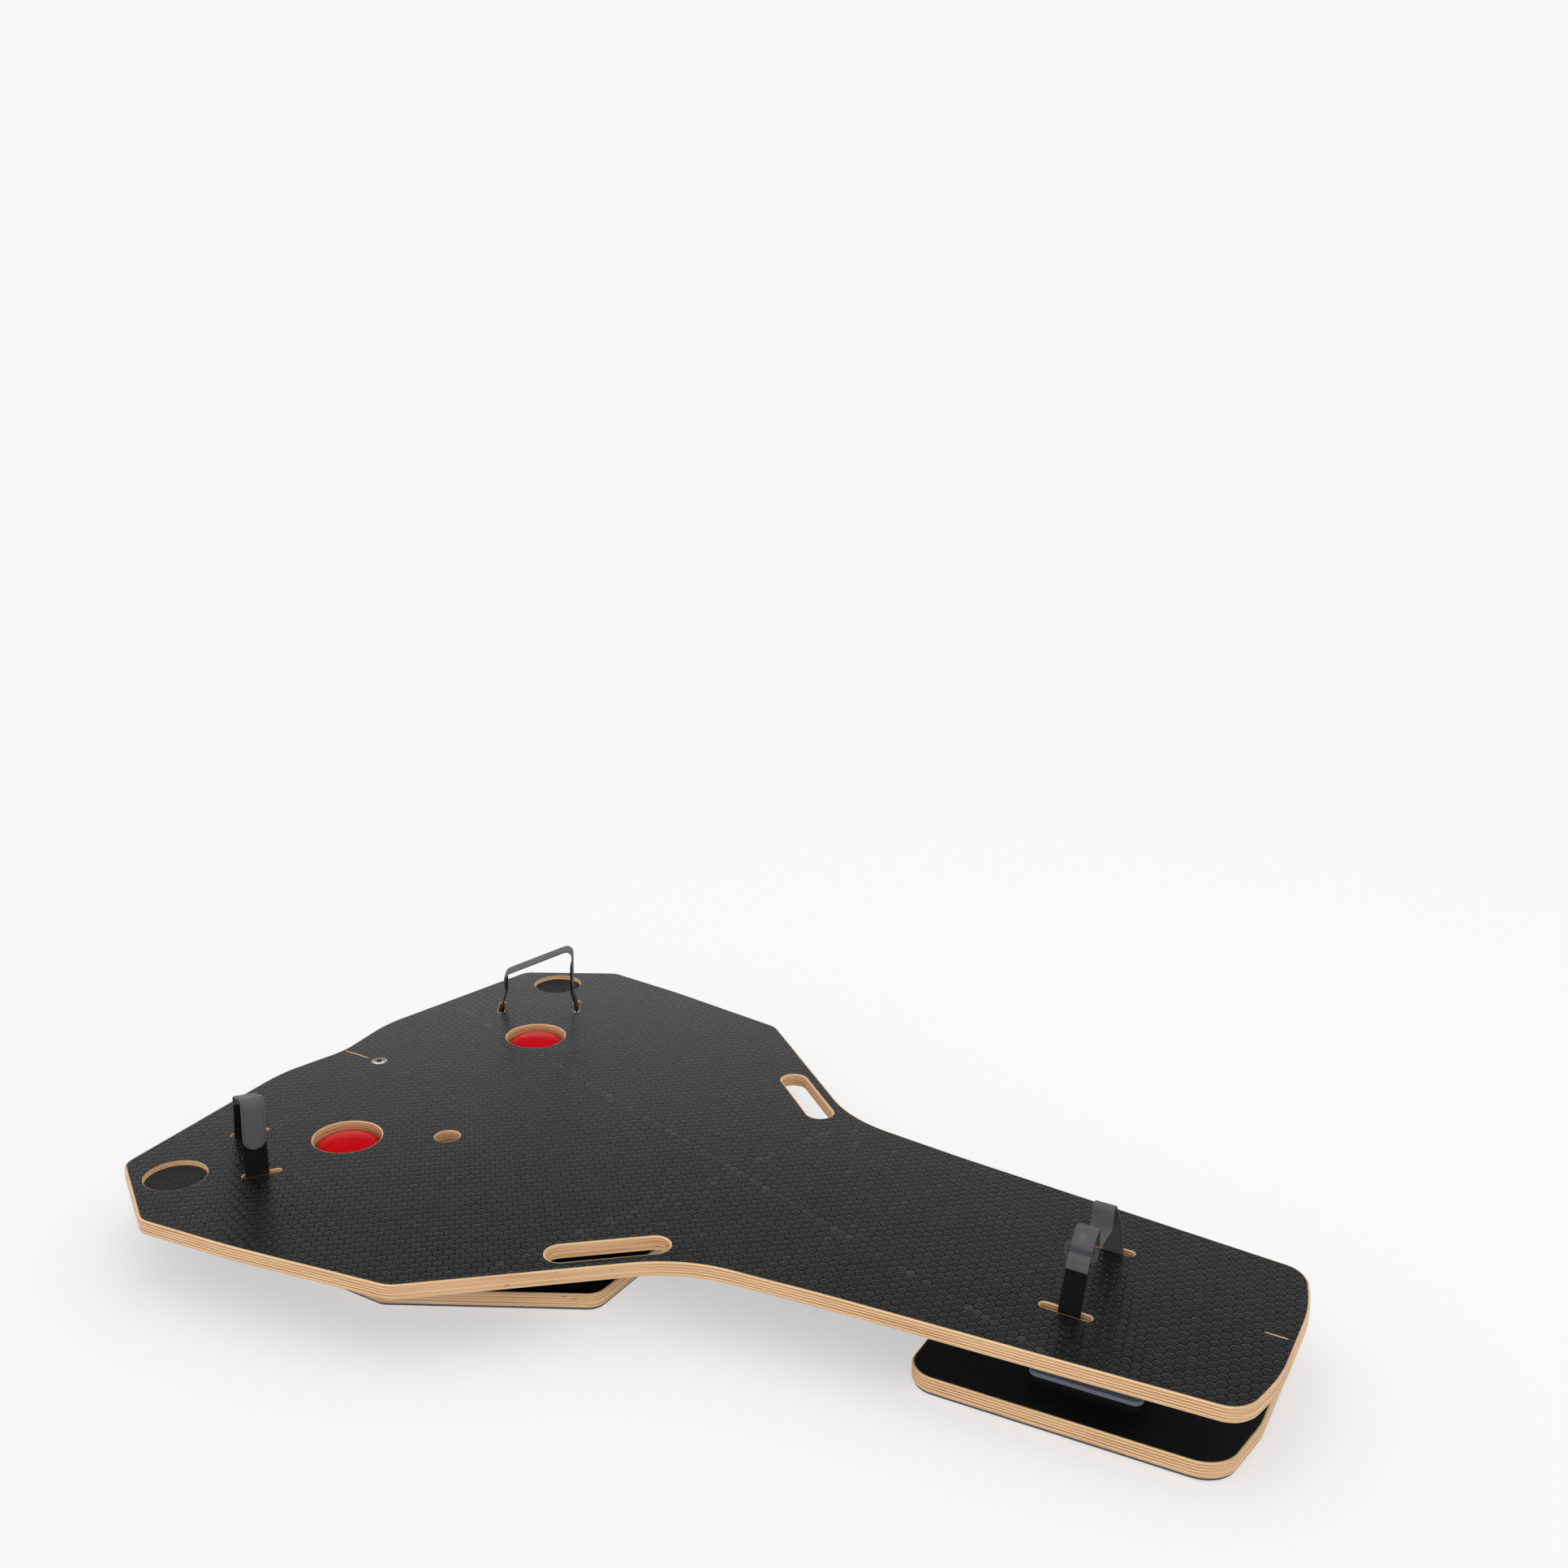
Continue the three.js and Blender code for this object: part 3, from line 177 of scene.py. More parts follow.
# Rear straps: half distance between the legs, and heights above the deck of the top at the front
# leg, its fall to the rear leg, the waists, the webbing's two ends and the grip fabric's two ends
TAIL_STRAP_WIDTH = 0.028
TAIL_STRAP_SHIFT = 0.005
TAIL_STRAP_HALF = 0.050
TAIL_STRAP_TOP = 0.098
TAIL_STRAP_FALL = 0.042
TAIL_STRAP_WAIST = 0.027
TAIL_STRAP_WEB_TOPS = (0.068, 0.04508)
TAIL_STRAP_GRIP_ENDS = (0.030, 0.03528)
TAIL_STRAP_BENDS = (0.006, 0.009, 0.012)
TAIL_STRAP_TIP_SHARE = 0.12
TAIL_STRAP_HEM = 0.0026

# Buckle: size, width and half thickness of the frame's bars, the same of the middle bar, corner,
# place on the strap's flank and lean
BUCKLE_SIZE = (0.036, 0.016)
BUCKLE_BAR = 0.0032
BUCKLE_HALF_THICK = 0.0013
BUCKLE_RUNG = 0.00256
BUCKLE_RUNG_HALF_THICK = 0.0011
BUCKLE_CORNER = 0.0035
BUCKLE_RISE = 0.057
BUCKLE_OUT = 0.0016
BUCKLE_LEAN = math.atan2(0.025, 0.034)
BUCKLE_OVAL = 0.7
BUCKLE_ARC_STEP = math.radians(15)
# The strap in it: run past the middle of a bar before it bends, bends in the buckle and at its
# ends, gap over a bar, depth under the middle bar, and how far below the lower bar the short end
# starts and the free end lies
BUCKLE_PASS = 0.0012
BUCKLE_BEND = 0.0025
BUCKLE_END_BEND = 0.003
BUCKLE_GAP = 0.0001
BUCKLE_SINK = 0.0022
SHORT_END_DROP = 0.0005
FREE_END_DROPS = (0.002, 0.0075, 0.0142)

# Centre screw: rings (radius, height over the tip) of the tip, the shank's radius and end, rings
# (inwards from the rim, height) of the rim, and rings (radius, height) of the face and the socket
CENTRE_SCREW_TIP = ((0.0046, 0), (0.005, 0.0006))
CENTRE_SCREW_SHANK = (0.005, -0.0055)
CENTRE_SCREW_RIM = ((0, -0.0004), (0, -0.00015), (0.0002, 0))
CENTRE_SCREW_FACE = (0.0048, 0)
CENTRE_SCREW_SOCKET = ((0.0042, -0.0003), (0.0040, -0.0038), (0.0003, -0.0048))

# Screw heads: rings (radius, height) of a head that is 1 in radius and 1 high, and of its recess
PAN_HEAD = ((0.985, 0), (1, 0.06), (0.985, 0.42), (0.91, 0.70), (0.78, 0.90), (0.66, 1))
CROSS_RECESS = ((0.58, 1), (0.50, 0.42), (0.12, 0.26))
CROSS_ARM = math.radians(15)
CAP_HEAD = ((0.98, 0), (1, 0.04), (1, 0.86), (0.97, 0.95), (0.90, 1))
HEXAGON_SOCKET = ((0.60, 1), (0.56, 0.95), (0.56, 0.38), (0.06, 0.24))
SHANK_RADIUS = 0.55

# Angles of the solids' edges, in degrees: the faces are joined below the first, shaded smooth
# between the next two, and the edge stays sharp above the last
FLAT_ANGLE = 0.5
CURVED_ANGLES = (1, 14)
SHARP_ANGLE = 32

# Stage: half size of the floor, heights between which the mirrored light falls off, and the lamp
FLOOR_HALF = 400.0
HORIZON_FADE = (0.2, 0.5)
LAMP_SIZE = 3.4
LAMP_PLACE = (0.5, 0.6, 3.2)
LAMP_AIM = (0.1, 0, 0)

# Camera: where the photo was taken from, its turn, lift and roll, its focal length in pixels, the
# sensor's width in millimetres and how far it sees
CAMERA_PLACE = (0.8925, -1.473, 1.0163)
CAMERA_ANGLES = (29.49, 14.08, 1.30)
CAMERA_FOCUS = 1872
PHOTO_WIDTH = 1932
SENSOR_WIDTH = 36
CAMERA_REACH = 60


# ---------------------------------------------------------------- settings


def colour_setting(name, description, value):
    """A colour that can be changed in the panel."""
    return FloatVectorProperty(
        name=name, description=description, default=value, subtype="COLOR", size=3, min=0, max=1
    )


def length_setting(name, description, value):
    """A length that can be changed in the panel."""
    return FloatProperty(
        name=name, description=description, default=value, min=0, unit="LENGTH", precision=4
    )


def strength_setting(name, description, value):
    """A strength of light that can be changed in the panel."""
    return FloatProperty(name=name, description=description, default=value, min=0)


class ROCKER_PG_wood(bpy.types.PropertyGroup):
    """Sizes and colours of the plywood plates."""

    edge_round: length_setting("Edge rounding", "Radius of the rounded plate edges", 0.0026)
    cell_pitch: length_setting("Hexagon pitch", "Distance between the film's hexagons", 0.01215)
    groove_width: length_setting("Groove width", "Width of the line between two hexagons", 0.0013)
    layers: IntProperty(name="Layers", description="Veneers in a plate", default=11, min=3, max=21)
    film: colour_setting("Film", "Colour of the phenolic film", (0.0085, 0.0085, 0.009))
    pale_veneer: colour_setting("Pale veneer", "Colour along the grain", (0.94, 0.66, 0.37))
    dark_veneer: colour_setting("Dark veneer", "Colour across the grain", (0.42, 0.145, 0.04))


class ROCKER_PG_balls(bpy.types.PropertyGroup):
    """Sizes and colours of the air balls."""

    skin: colour_setting("Skin", "Colour of the ball's rubber", (0.54, 0.0015, 0.005))
    wrinkle: length_setting("Wrinkle depth", "Depth of the folds in the pressed rubber", 0.0006)


class ROCKER_PG_straps(bpy.types.PropertyGroup):
    """Sizes and colours of the straps."""

    # Black webbing, darkened further as painted shade
    webbing: colour_setting("Webbing", "Colour of the black webbing", (0.0035, 0.0037, 0.005))
    # Also the lighter grey painted on the front strap's long end as lit webbing
    grip: colour_setting("Grip fabric", "Colour of the hook-and-loop side", (0.112, 0.112, 0.118))
    thread: colour_setting("Thread", "Colour of the sewing thread", (0.05, 0.05, 0.055))
    stitch_pitch: length_setting("Stitch pitch", "Distance from stitch to stitch", 0.0028)
    stitch_length: length_setting("Stitch length", "Visible length of a stitch", 0.0021)
    thread_radius: length_setting("Thread radius", "Radius of the sewing thread", 0.0003)


class ROCKER_PG_hardware(bpy.types.PropertyGroup):
    """Sizes and colours of the hardware and pads."""

    edge_break: length_setting("Edge break", "Width of the broken edges of metal pieces", 0.0005)
    steel: colour_setting("Bright steel", "Colour of zinc-plated steel", (0.52, 0.53, 0.55))
    stainless: colour_setting("Stainless", "Colour of stainless steel", (0.72, 0.71, 0.69))
    aluminium: colour_setting("Aluminium", "Colour of bare aluminium", (0.60, 0.61, 0.62))
    bronze: colour_setting("Bronze", "Colour of the bearing bronze", (0.45, 0.27, 0.10))
    glide: colour_setting("Glide pad", "Colour of the low-friction pads", (0.30, 0.32, 0.40))
    plastic: colour_setting("Plastic", "Colour of the black plastic", (0.018, 0.018, 0.019))
    # The buckle's dark plastic, lifted to a bluish grey as a painted reflection
    buckle: colour_setting("Buckle", "Colour of the buckle's plastic", (0.05, 0.054, 0.064))
    rubber: colour_setting("Rubber", "Colour of the black rubber", (0.02, 0.02, 0.021))


class ROCKER_PG_stage(bpy.types.PropertyGroup):
    """Floor and light."""

    floor: colour_setting("Floor", "Colour of the floor", (0.93, 0.93, 0.93))
    backdrop: strength_setting("Backdrop", "Strength of the pale background", 0.93)
    sky: strength_setting("Sky light", "Strength of the even light", 1.0)
    horizon: strength_setting("Horizon", "Strength of what the pieces mirror at a low angle", 1.4)
    zenith: strength_setting("Zenith", "Strength of what the pieces mirror from above", 0.05)
    glow: FloatProperty(
        name="Floor glow",
        description="Share of its own light in the floor",
        default=0.55,
        min=0,
        max=1,
    )
    key: FloatProperty(
        name="Key light",
        description="Power of the large lamp above",
        default=7,
        min=0,
        unit="POWER",
    )


# ---------------------------------------------------------------- node graphs


def arithmetic(operation, swapped=False):
    """A method that makes a Math node from a wire and another value."""

    def method(wire, other):
        return wire.graph.maths(operation, *((other, wire) if swapped else (wire, other)))

    return method


class Wire:
    """A socket that makes Math nodes when it is used in an expression."""

    def __init__(self, graph, socket):
        self.graph, self.socket = graph, socket

    def __abs__(self):
        return self.graph.maths("ABSOLUTE", self)

    __add__ = __radd__ = arithmetic("ADD")
    __mul__ = __rmul__ = arithmetic("MULTIPLY")
    __sub__ = arithmetic("SUBTRACT")
    __rsub__ = arithmetic("SUBTRACT", swapped=True)
    __mod__ = arithmetic("FLOORED_MODULO")
    __lt__ = arithmetic("LESS_THAN")


class Graph:
    """A node tree that is built by calls."""

    def __init__(self, tree):
        self.tree = tree

    def node(self, kind, sockets=None, output=0, **settings):
        """Adds a node: its settings first, then the values or links of its sockets."""
        node = self.tree.nodes.new(kind)
        for name, value in settings.items():
            setattr(node, name, value)
        for key, value in (sockets or {}).items():
            if isinstance(value, Wire):
                self.tree.links.new(value.socket, node.inputs[key])
            else:
                node.inputs[key].default_value = value
        return Wire(self, node.outputs[output]) if node.outputs else node

    def maths(self, operation, *values):
        """A Math node on its values."""
        return self.node("ShaderNodeMath", dict(enumerate(values)), operation=operation)

    def vector(self, operation, *values):
        """A Vector Math node on its values."""
        return self.node("ShaderNodeVectorMath", dict(enumerate(values)), operation=operation)

    def stretch(self, vector, scales):
        """A vector with a scale of its own along each axis."""
        return self.vector("MULTIPLY", vector, scales)

    def combine(self, *values):
        """A vector from its three parts."""
        return self.node("ShaderNodeCombineXYZ", dict(enumerate(values)))

    def split(self, vector):
        """The three parts of a vector."""
        parts = self.node("ShaderNodeSeparateXYZ", {0: vector}).socket.node.outputs
        return [Wire(self, socket) for socket in parts]

    def step(self, value, low, high):
        """A smooth step from 0 at low to 1 at high."""
        sockets = {"Value": value, "From Min": low, "From Max": high}
        return self.node("ShaderNodeMapRange", sockets, interpolation_type="SMOOTHSTEP")

    def mix(self, share, first, second):
        """Mixes two colours."""
        sockets = {0: share, 6: rgba(first), 7: rgba(second)}
        return self.node("ShaderNodeMix", sockets, 2, data_type="RGBA")

    def noise(self, vector, scale, detail=3, roughness=0.5):
        """Even noise."""
        sockets = {"Vector": vector, "Scale": scale, "Detail": detail, "Roughness": roughness}
        return self.node("ShaderNodeTexNoise", sockets)

    def streaks(self, vector, scales, detail=3, roughness=0.5):
        """Noise with a scale of its own along each axis."""
        return self.noise(self.stretch(vector, scales), 1.0, detail, roughness)


def rgba(value):
    """A colour as four numbers, or the wire as it is."""
    return value if isinstance(value, Wire) else (*value[:3], 1)


def tint(colour, share, lift=0.0):
    """A colour that is a share as bright, and then lifted."""
    return tuple(min(1.0, value * share + lift) for value in colour)


class Finish(Graph):
    """One material: a Principled shader with its nodes."""

    made = {}

    def __init__(self, name):
        self.material = bpy.data.materials.new(name)
        self.material.use_nodes = True
        super().__init__(self.material.node_tree)
        self.tree.nodes.clear()
        Finish.made[name] = self.material

    def place(self):
        """Object coordinates, in metres."""
        return self.node("ShaderNodeTexCoord", output=3)

    def along_piece(self):
        """The piece's own UV map, in metres along and across it."""
        return self.node("ShaderNodeUVMap", uv_map="along")

    def bump(self, height, distance=1.0):
        """A normal that follows a height."""
        sockets = {"Height": height, "Distance": distance, "Strength": 1.0}
        return self.node("ShaderNodeBump", sockets)

    def surface(self, **sockets):
        """Closes the material with its shader; an underscore in a name stands for a space."""
        named = {name.replace("_", " "): value for name, value in sockets.items()}
        named["Base Color"] = rgba(named["Base Color"])
        shader = self.node("ShaderNodeBsdfPrincipled", named)
        self.node("ShaderNodeOutputMaterial", {"Surface": shader})


def finish(name):
    """The named material, made the first time it is asked for."""
    if name not in Finish.made:
        maker, *values = FINISHES[name]
        maker(Finish(name), *values)
    return Finish.made[name]


# ---------------------------------------------------------------- finishes


def hexagon_film(make):
    """Black phenolic film pressed with hexagons: dull cells and smoother grooves."""
    wood = bpy.context.scene.rocker_wood
    place = make.place()
    sockets = {"Vector": place, "Angle": FILM_TURN}
    lattice = make.node("ShaderNodeVectorRotate", sockets, rotation_type="Z_AXIS")
    scale = 1 / wood.cell_pitch
    x, y, _ = make.split(make.stretch(lattice, (scale, scale, 0)))
    root = math.sqrt(3)
    cells = []
    for shift in (0, 0.5):
        cell_x = (x + shift) % 1 - 0.5
        cell_y = (y + shift * root) % root - root / 2
        cells.append((cell_x, cell_y, cell_x * cell_x + cell_y * cell_y))
    (ax, ay, a_far), (bx, by, b_far) = cells
    first = a_far < b_far
    inside_x = bx + (ax - bx) * first
    inside_y = by + (ay - by) * first
    rim = make.maths("MAXIMUM", abs(inside_x), abs(inside_x) * 0.5 + abs(inside_y) * (root / 2))
    shoulder = 0.5 - wood.groove_width / wood.cell_pitch / 2
    wander = make.noise(place, 260, 2) * 0.03 - 0.015
    raised = 1 - make.step(rim + wander, shoulder - 0.045, shoulder + 0.015)
    cell = make.vector("SNAP", make.combine(x - inside_x, y - inside_y, 0), (0.25,) * 3)
    shade = make.node("ShaderNodeTexWhiteNoise", {"Vector": cell}, noise_dimensions="2D")
    broad = make.noise(place, 9, 3)
    grain = make.noise(place, 2600, 2, 0.7)
    scuff = make.step(make.streaks(place, (60, 60, 60), 6, 0.7), 0.56, 0.78)
    cell_colour = make.mix(shade * 0.5 + grain * 0.5, wood.film, tint(wood.film, 1.5))
    # Grooves take a darker film colour: painted shade in the recesses between the cells
    colour = make.mix(raised, tint(wood.film, 0.42), cell_colour)
    height = raised * (0.00015 + shade * 0.00003) + grain * 0.00001 * raised
    make.surface(
        Base_Color=make.mix(scuff * 0.22 * raised, colour, (0.09, 0.09, 0.092)),
        Roughness=0.17 + raised * (0.11 + grain * 0.08 + shade * 0.05) + (broad - 0.5) * 0.08,
        Normal=make.bump(height),
        Specular_IOR_Level=0.3,
        Coat_Weight=raised * (0.05 + grain * 0.08 + shade * 0.05),
        Coat_Roughness=0.3,
    )


def plain_film(make):
    """Smooth black film of the floor plates and of the deck's underside."""
    film = bpy.context.scene.rocker_wood.film
    place = make.place()
    grain = make.noise(place, 1800, 3, 0.6)
    cloud = make.noise(place, 7, 4)
    make.surface(
        Base_Color=make.mix(grain * cloud, tint(film, 0.45), tint(film, 1.1)),
        Roughness=0.34 + cloud * 0.12 + grain * 0.06,
        Normal=make.bump(grain, 0.00002),
        Specular_IOR_Level=0.35,
    )


def birch_edge(make, low):
    """Sanded and sealed plywood edge: veneers in turn along and across the grain."""
    wood = bpy.context.scene.rocker_wood
    place = make.place()
    z = make.split(place)[2]
    wobble = (make.streaks(place, (14, 14, 30), 2) - 0.5) * 0.00036
    layer = (z + wobble - low) * (wood.layers / PLY_THICKNESS)
    number = make.maths("FLOOR", layer)
    from_middle = abs(layer - number - 0.5)
    odd = number % 2
    facing_x, facing_y, _ = make.split(make.node("ShaderNodeTexCoord", output=1))
    across = odd * facing_y * facing_y + (1 - odd) * facing_x * facing_x
    luck = make.node("ShaderNodeTexWhiteNoise", {"W": number}, noise_dimensions="1D")
    fibre = make.streaks(place, (26, 26, 1500), 5, 0.65)
    pores = make.streaks(place, (900, 900, 900), 3, 0.7)
    drift = make.streaks(place, (9, 9, 240))
    along_grain = make.mix(fibre, tint(wood.pale_veneer, 0.84), tint(wood.pale_veneer, 1.13))
    end_grain = make.mix(pores, tint(wood.dark_veneer, 0.72), tint(wood.dark_veneer, 1.35))
    along_grain = make.mix(make.step(from_middle, 0.1, 0.42) * 0.3, along_grain, end_grain)
    colour = make.mix(across * (0.45 + luck * 0.55 + (drift - 0.5) * 0.9), along_grain, end_grain)
    colour = make.mix(make.step(drift, 0.52, 0.75) * 0.35, colour, end_grain)
    glue = make.step(from_middle, 0.40, 0.49)
    colour = make.mix(glue * (0.25 + drift * 0.5), colour, (0.16, 0.062, 0.02))
    void = make.step(make.streaks(place, (34, 34, 420), 1), 0.76, 0.78) * odd
    make.surface(
        Base_Color=make.mix(void, colour, (0.03, 0.014, 0.006)),
        Roughness=0.42 + pores * 0.16 + void * 0.3,
        Normal=make.bump(0.6 * fibre + 0.5 * pores - 1.2 * glue - 3 * void, 0.00004),
        Coat_Weight=0.06,
    )


def air_ball_skin(make):
    """Glossy red rubber, a little paler in broad patches."""
    skin = bpy.context.scene.rocker_balls.skin
    place = make.place()
    broad = make.noise(place, 22, 4)
    fine = make.noise(place, 900, 2, 0.6)
    bright = (min(1, skin[0] * 1.12), skin[1] * 1.8, skin[2] * 1.6)
    creases = make.streaks(place, (60, 60, 22), 4, 0.55)
    make.surface(
        Base_Color=make.mix(broad, tint(skin, 0.72), bright),
        Roughness=0.16 + broad * 0.08 + fine * 0.04,
        Normal=make.bump(creases * 0.00035 + fine * 0.00001),
        Specular_IOR_Level=0.04,
    )


def woven(make, colour_name, thread_pitch, gloss):
    """Woven webbing: ribs across with a twill over them, from the strap's own length and width."""
    base = getattr(bpy.context.scene.rocker_straps, colour_name)
    u, v, _ = make.split(make.along_piece())
    turn = 2 * math.pi / thread_pitch
    twill = make.maths("SINE", (u + v * 0.55) * turn)
    ribs = make.maths("SINE", v * (turn * 0.62))
    weave = twill * 0.5 + ribs * 0.35 * twill + 0.5
    place = make.place()
    fuzz = make.noise(place, 2400, 3, 0.7)
    worn = make.step(make.noise(place, 60, 4), 0.55, 0.8)
    colour = make.mix(weave * 0.65 + fuzz * 0.35, tint(base, 0.5), tint(base, 1.45, 0.004))
    make.surface(
        Base_Color=make.mix(worn * 0.25, colour, tint(base, 2, 0.01)),
        Roughness=gloss + fuzz * 0.15,
        Normal=make.bump(weave * 0.00022 + fuzz * 0.00008),
        Specular_IOR_Level=0.1,
        Sheen_Weight=0.04,
    )


def grip_fabric(make):
    """Brushed hook-and-loop fabric: a short, even pile, sewn down along its edges."""
    straps = bpy.context.scene.rocker_straps
    place = make.place()
    pile = make.noise(place, 1500, 4, 0.75)
    tufts = make.node("ShaderNodeTexVoronoi", {"Vector": place, "Scale": 950.0}, feature="F1")
    patch = make.noise(place, 70, 3)
    colour = make.mix(pile, tint(straps.grip, 0.55), tint(straps.grip, 1.5))
    colour = make.mix(patch * 0.3, colour, tint(straps.grip, 0.75))
    along, across, _ = make.split(make.along_piece())
    inset = abs(abs(across) - (TAIL_STRAP_WIDTH / 2 - TAIL_STRAP_HEM))
    line = 1 - make.step(inset, 0.0002, 0.0009)
    stitches = make.step(make.maths("SINE", along * (2 * math.pi / straps.stitch_pitch)), -0.6, 0.4)
    make.surface(
        Base_Color=make.mix(line * stitches * 0.7, colour, straps.thread),
        Roughness=0.92,
        Normal=make.bump(pile * 0.0003 + tufts * 0.0002 + line * (stitches * 0.0006 - 0.0005)),
        Specular_IOR_Level=0.2,
        Sheen_Weight=0.12,
    )


def sewing_thread(make):
    """Twisted thread."""
    thread = bpy.context.scene.rocker_straps.thread
    twist = make.noise(make.place(), 3000, 2)
    colour = make.mix(twist, tint(thread, 0.6), tint(thread, 1.6))
    make.surface(Base_Color=colour, Roughness=0.5 + twist * 0.2)


def metal(make, colour_name, rough, grain_scales, depth, patches):
    """A metal with its grain: fine lines where the scales are uneven, even where they are alike."""
    colour = getattr(bpy.context.scene.rocker_hardware, colour_name)
    place = make.place()
    lines = make.streaks(place, grain_scales, 4, 0.65)
    cloud = make.noise(place, 30, 4)
    dark, light = tint(colour, 1 - patches), tint(colour, 1 + patches)
    make.surface(
        Base_Color=make.mix(cloud * 0.6 + lines * 0.4, dark, light),
        Roughness=rough + (lines - 0.5) * 0.14 + (cloud - 0.5) * 0.1,
        Metallic=1.0,
        Normal=make.bump(lines, depth),
    )


def black_steel(make):
    """Black powder coat with its orange-peel skin."""
    place = make.place()
    peel = make.noise(place, 620, 3, 0.5)
    cloud = make.noise(place, 18, 3)
    make.surface(
        Base_Color=make.mix(cloud, (0.012, 0.012, 0.013), (0.028, 0.028, 0.03)),
        Roughness=0.4 + cloud * 0.1,
        Normal=make.bump(peel, 0.00006),
    )


def glide_pad(make):
    """Grey low-friction sheet with fine marks along the travel."""
    glide = bpy.context.scene.rocker_hardware.glide
    place = make.place()
    marks = make.streaks(place, (20, 1600, 1600), 4, 0.7)
    cloud = make.noise(place, 16, 4)
    make.surface(
        Base_Color=make.mix(cloud * 0.5 + marks * 0.5, tint(glide, 0.82), tint(glide, 1.16)),
        Roughness=0.36 + marks * 0.2,
        Normal=make.bump(marks, 0.00002),
    )


def moulded(make, colour_name, rough, grain, depth):
    """Moulded plastic or rubber with a fine grain."""
    colour = getattr(bpy.context.scene.rocker_hardware, colour_name)
    place = make.place()
    texture = make.noise(place, grain, 3, 0.6)
    cloud = make.noise(place, 14, 3)
    make.surface(
        Base_Color=make.mix(texture * 0.5 + cloud * 0.5, tint(colour, 0.65), tint(colour, 1.5)),
        Roughness=rough + texture * 0.12,
        Normal=make.bump(texture, depth),
    )


def mat_rubber(make):
    """Closed-cell rubber mat: pale and dark flecks."""
    place = make.place()
    cells = make.node("ShaderNodeTexVoronoi", {"Vector": place, "Scale": 900.0}, feature="F1")
    fleck = make.step(make.noise(place, 420, 2), 0.62, 0.7)
    colour = make.mix(cells, (0.05, 0.05, 0.056), (0.10, 0.10, 0.108))
    make.surface(
        Base_Color=make.mix(fleck * 0.6, colour, (0.24, 0.24, 0.25)),
        Roughness=0.85,
        Normal=make.bump(cells, 0.0003),
    )


# Each finish's maker and what it needs
FINISHES = {
    "hexagon_film": (hexagon_film,),
    "plain_film": (plain_film,),
    # Height of the lowest veneer
    "deck_edge": (birch_edge, DECK_LOW),
    "floor_plate_edge": (birch_edge, BASE_LOW),
    "air_ball_skin": (air_ball_skin,),
    # Colour setting, thread pitch, roughness
    "webbing": (woven, "webbing", 0.0021, 0.62),
    # Lighter grey copy of the black webbing: painted light on the front strap's long end
    "grip_webbing": (woven, "grip", 0.0016, 0.72),
    "grip_fabric": (grip_fabric,),
    "sewing_thread": (sewing_thread,),
    # Colour setting, roughness, scales and depth of the grain, patchiness
    "zinc_steel": (metal, "steel", 0.34, (700, 700, 700), 0.00001, 0.12),
    "stainless": (metal, "stainless", 0.26, (500, 500, 500), 0.00001, 0.06),
    "brushed_aluminium": (metal, "aluminium", 0.38, (40, 2200, 2200), 0.00002, 0.12),
    "bearing_bronze": (metal, "bronze", 0.36, (300, 900, 900), 0.00001, 0.2),
    "black_steel": (black_steel,),
    "glide_pad": (glide_pad,),
    # Colour setting, roughness, scale and depth of the grain
    "black_plastic": (moulded, "plastic", 0.36, 1300, 0.00003),
    "buckle_plastic": (moulded, "buckle", 0.16, 700, 0.00001),
    "black_rubber": (moulded, "rubber", 0.68, 700, 0.00009),
    "mat_rubber": (mat_rubber,),
}


# ---------------------------------------------------------------- outlines


def rounded(corners, closed=True, step=math.radians(3)):
    """Points of a path whose corners (x, y, radius) are rounded by arcs."""
    points = []
    count = len(corners)
    for index, (x, y, radius) in enumerate(corners):
        here = Vector((x, y))
        if not closed and index in (0, count - 1):
            points.append(here)
            continue
        back = (Vector(corners[index - 1][:2]) - here).normalized()
        ahead = (Vector(corners[(index + 1) % count][:2]) - here).normalized()
        half = back.angle(ahead) / 2
        turn = math.pi - 2 * half
        if radius == 0 or turn < 1e-5:
            points.append(here)
            continue
        centre = here + (back + ahead).normalized() * (radius / math.sin(half))
        start = here + back * (radius / math.tan(half)) - centre
        first = math.atan2(start.y, start.x)
        sign = math.copysign(1, back.cross(ahead))
        steps = max(2, math.ceil(turn / step))
        for number in range(steps + 1):
            angle = first - sign * turn * number / steps
            points.append(centre + radius * Vector((math.cos(angle), math.sin(angle))))
    return points


def mirrored(half):
    """Closed counterclockwise outline from the corners of its left half."""
    other = [(x, -y, radius) for x, y, radius in half if y > 0]
    loop = rounded([*half, *other[::-1]])
    area = sum(a.cross(b) for a, b in zip(loop, loop[1:] + loop[:1]))
    return loop if area > 0 else loop[::-1]


def circle(x, y, radius, sides=96):
    """Points of a circle."""
    turns = (2 * math.pi * number / sides for number in range(sides))
    return [Vector((x + radius * math.cos(turn), y + radius * math.sin(turn))) for turn in turns]


def slot_loop(size, x, y, turn, steps=24):
    """A slot with round ends, its long way turned from +X."""
    length, width = size
    points = []
    for end in (1, -1):
        for number in range(steps + 1):
            angle = math.pi * (number / steps - 0.5)
            along = (length - width) / 2 + width / 2 * math.cos(angle)
            local = Vector((along, width / 2 * math.sin(angle))) * end
            local.rotate(Matrix.Rotation(turn, 2))
            points.append(local + Vector((x, y)))
    return points


def offset(loop, distance):
    """A counterclockwise loop moved outwards."""
    moved = []
    count = len(loop)
    for index, here in enumerate(loop):
        before = (here - loop[index - 1]).normalized()
        after = (loop[(index + 1) % count] - here).normalized()
        along = (before + after).normalized()
        normal = Vector((along.y, -along.x))
        moved.append(here + normal * (distance / max(0.5, along.dot(after))))
    return moved


def deck_corners():
    """Corners (x, y, radius) of the deck's left half."""
    return [
        ((along - 0.5) * DECK_LENGTH, across * DECK_HALF_WIDTH, radius * DECK_LENGTH)
        for along, across, radius in DECK_CORNER_SHARES
    ]


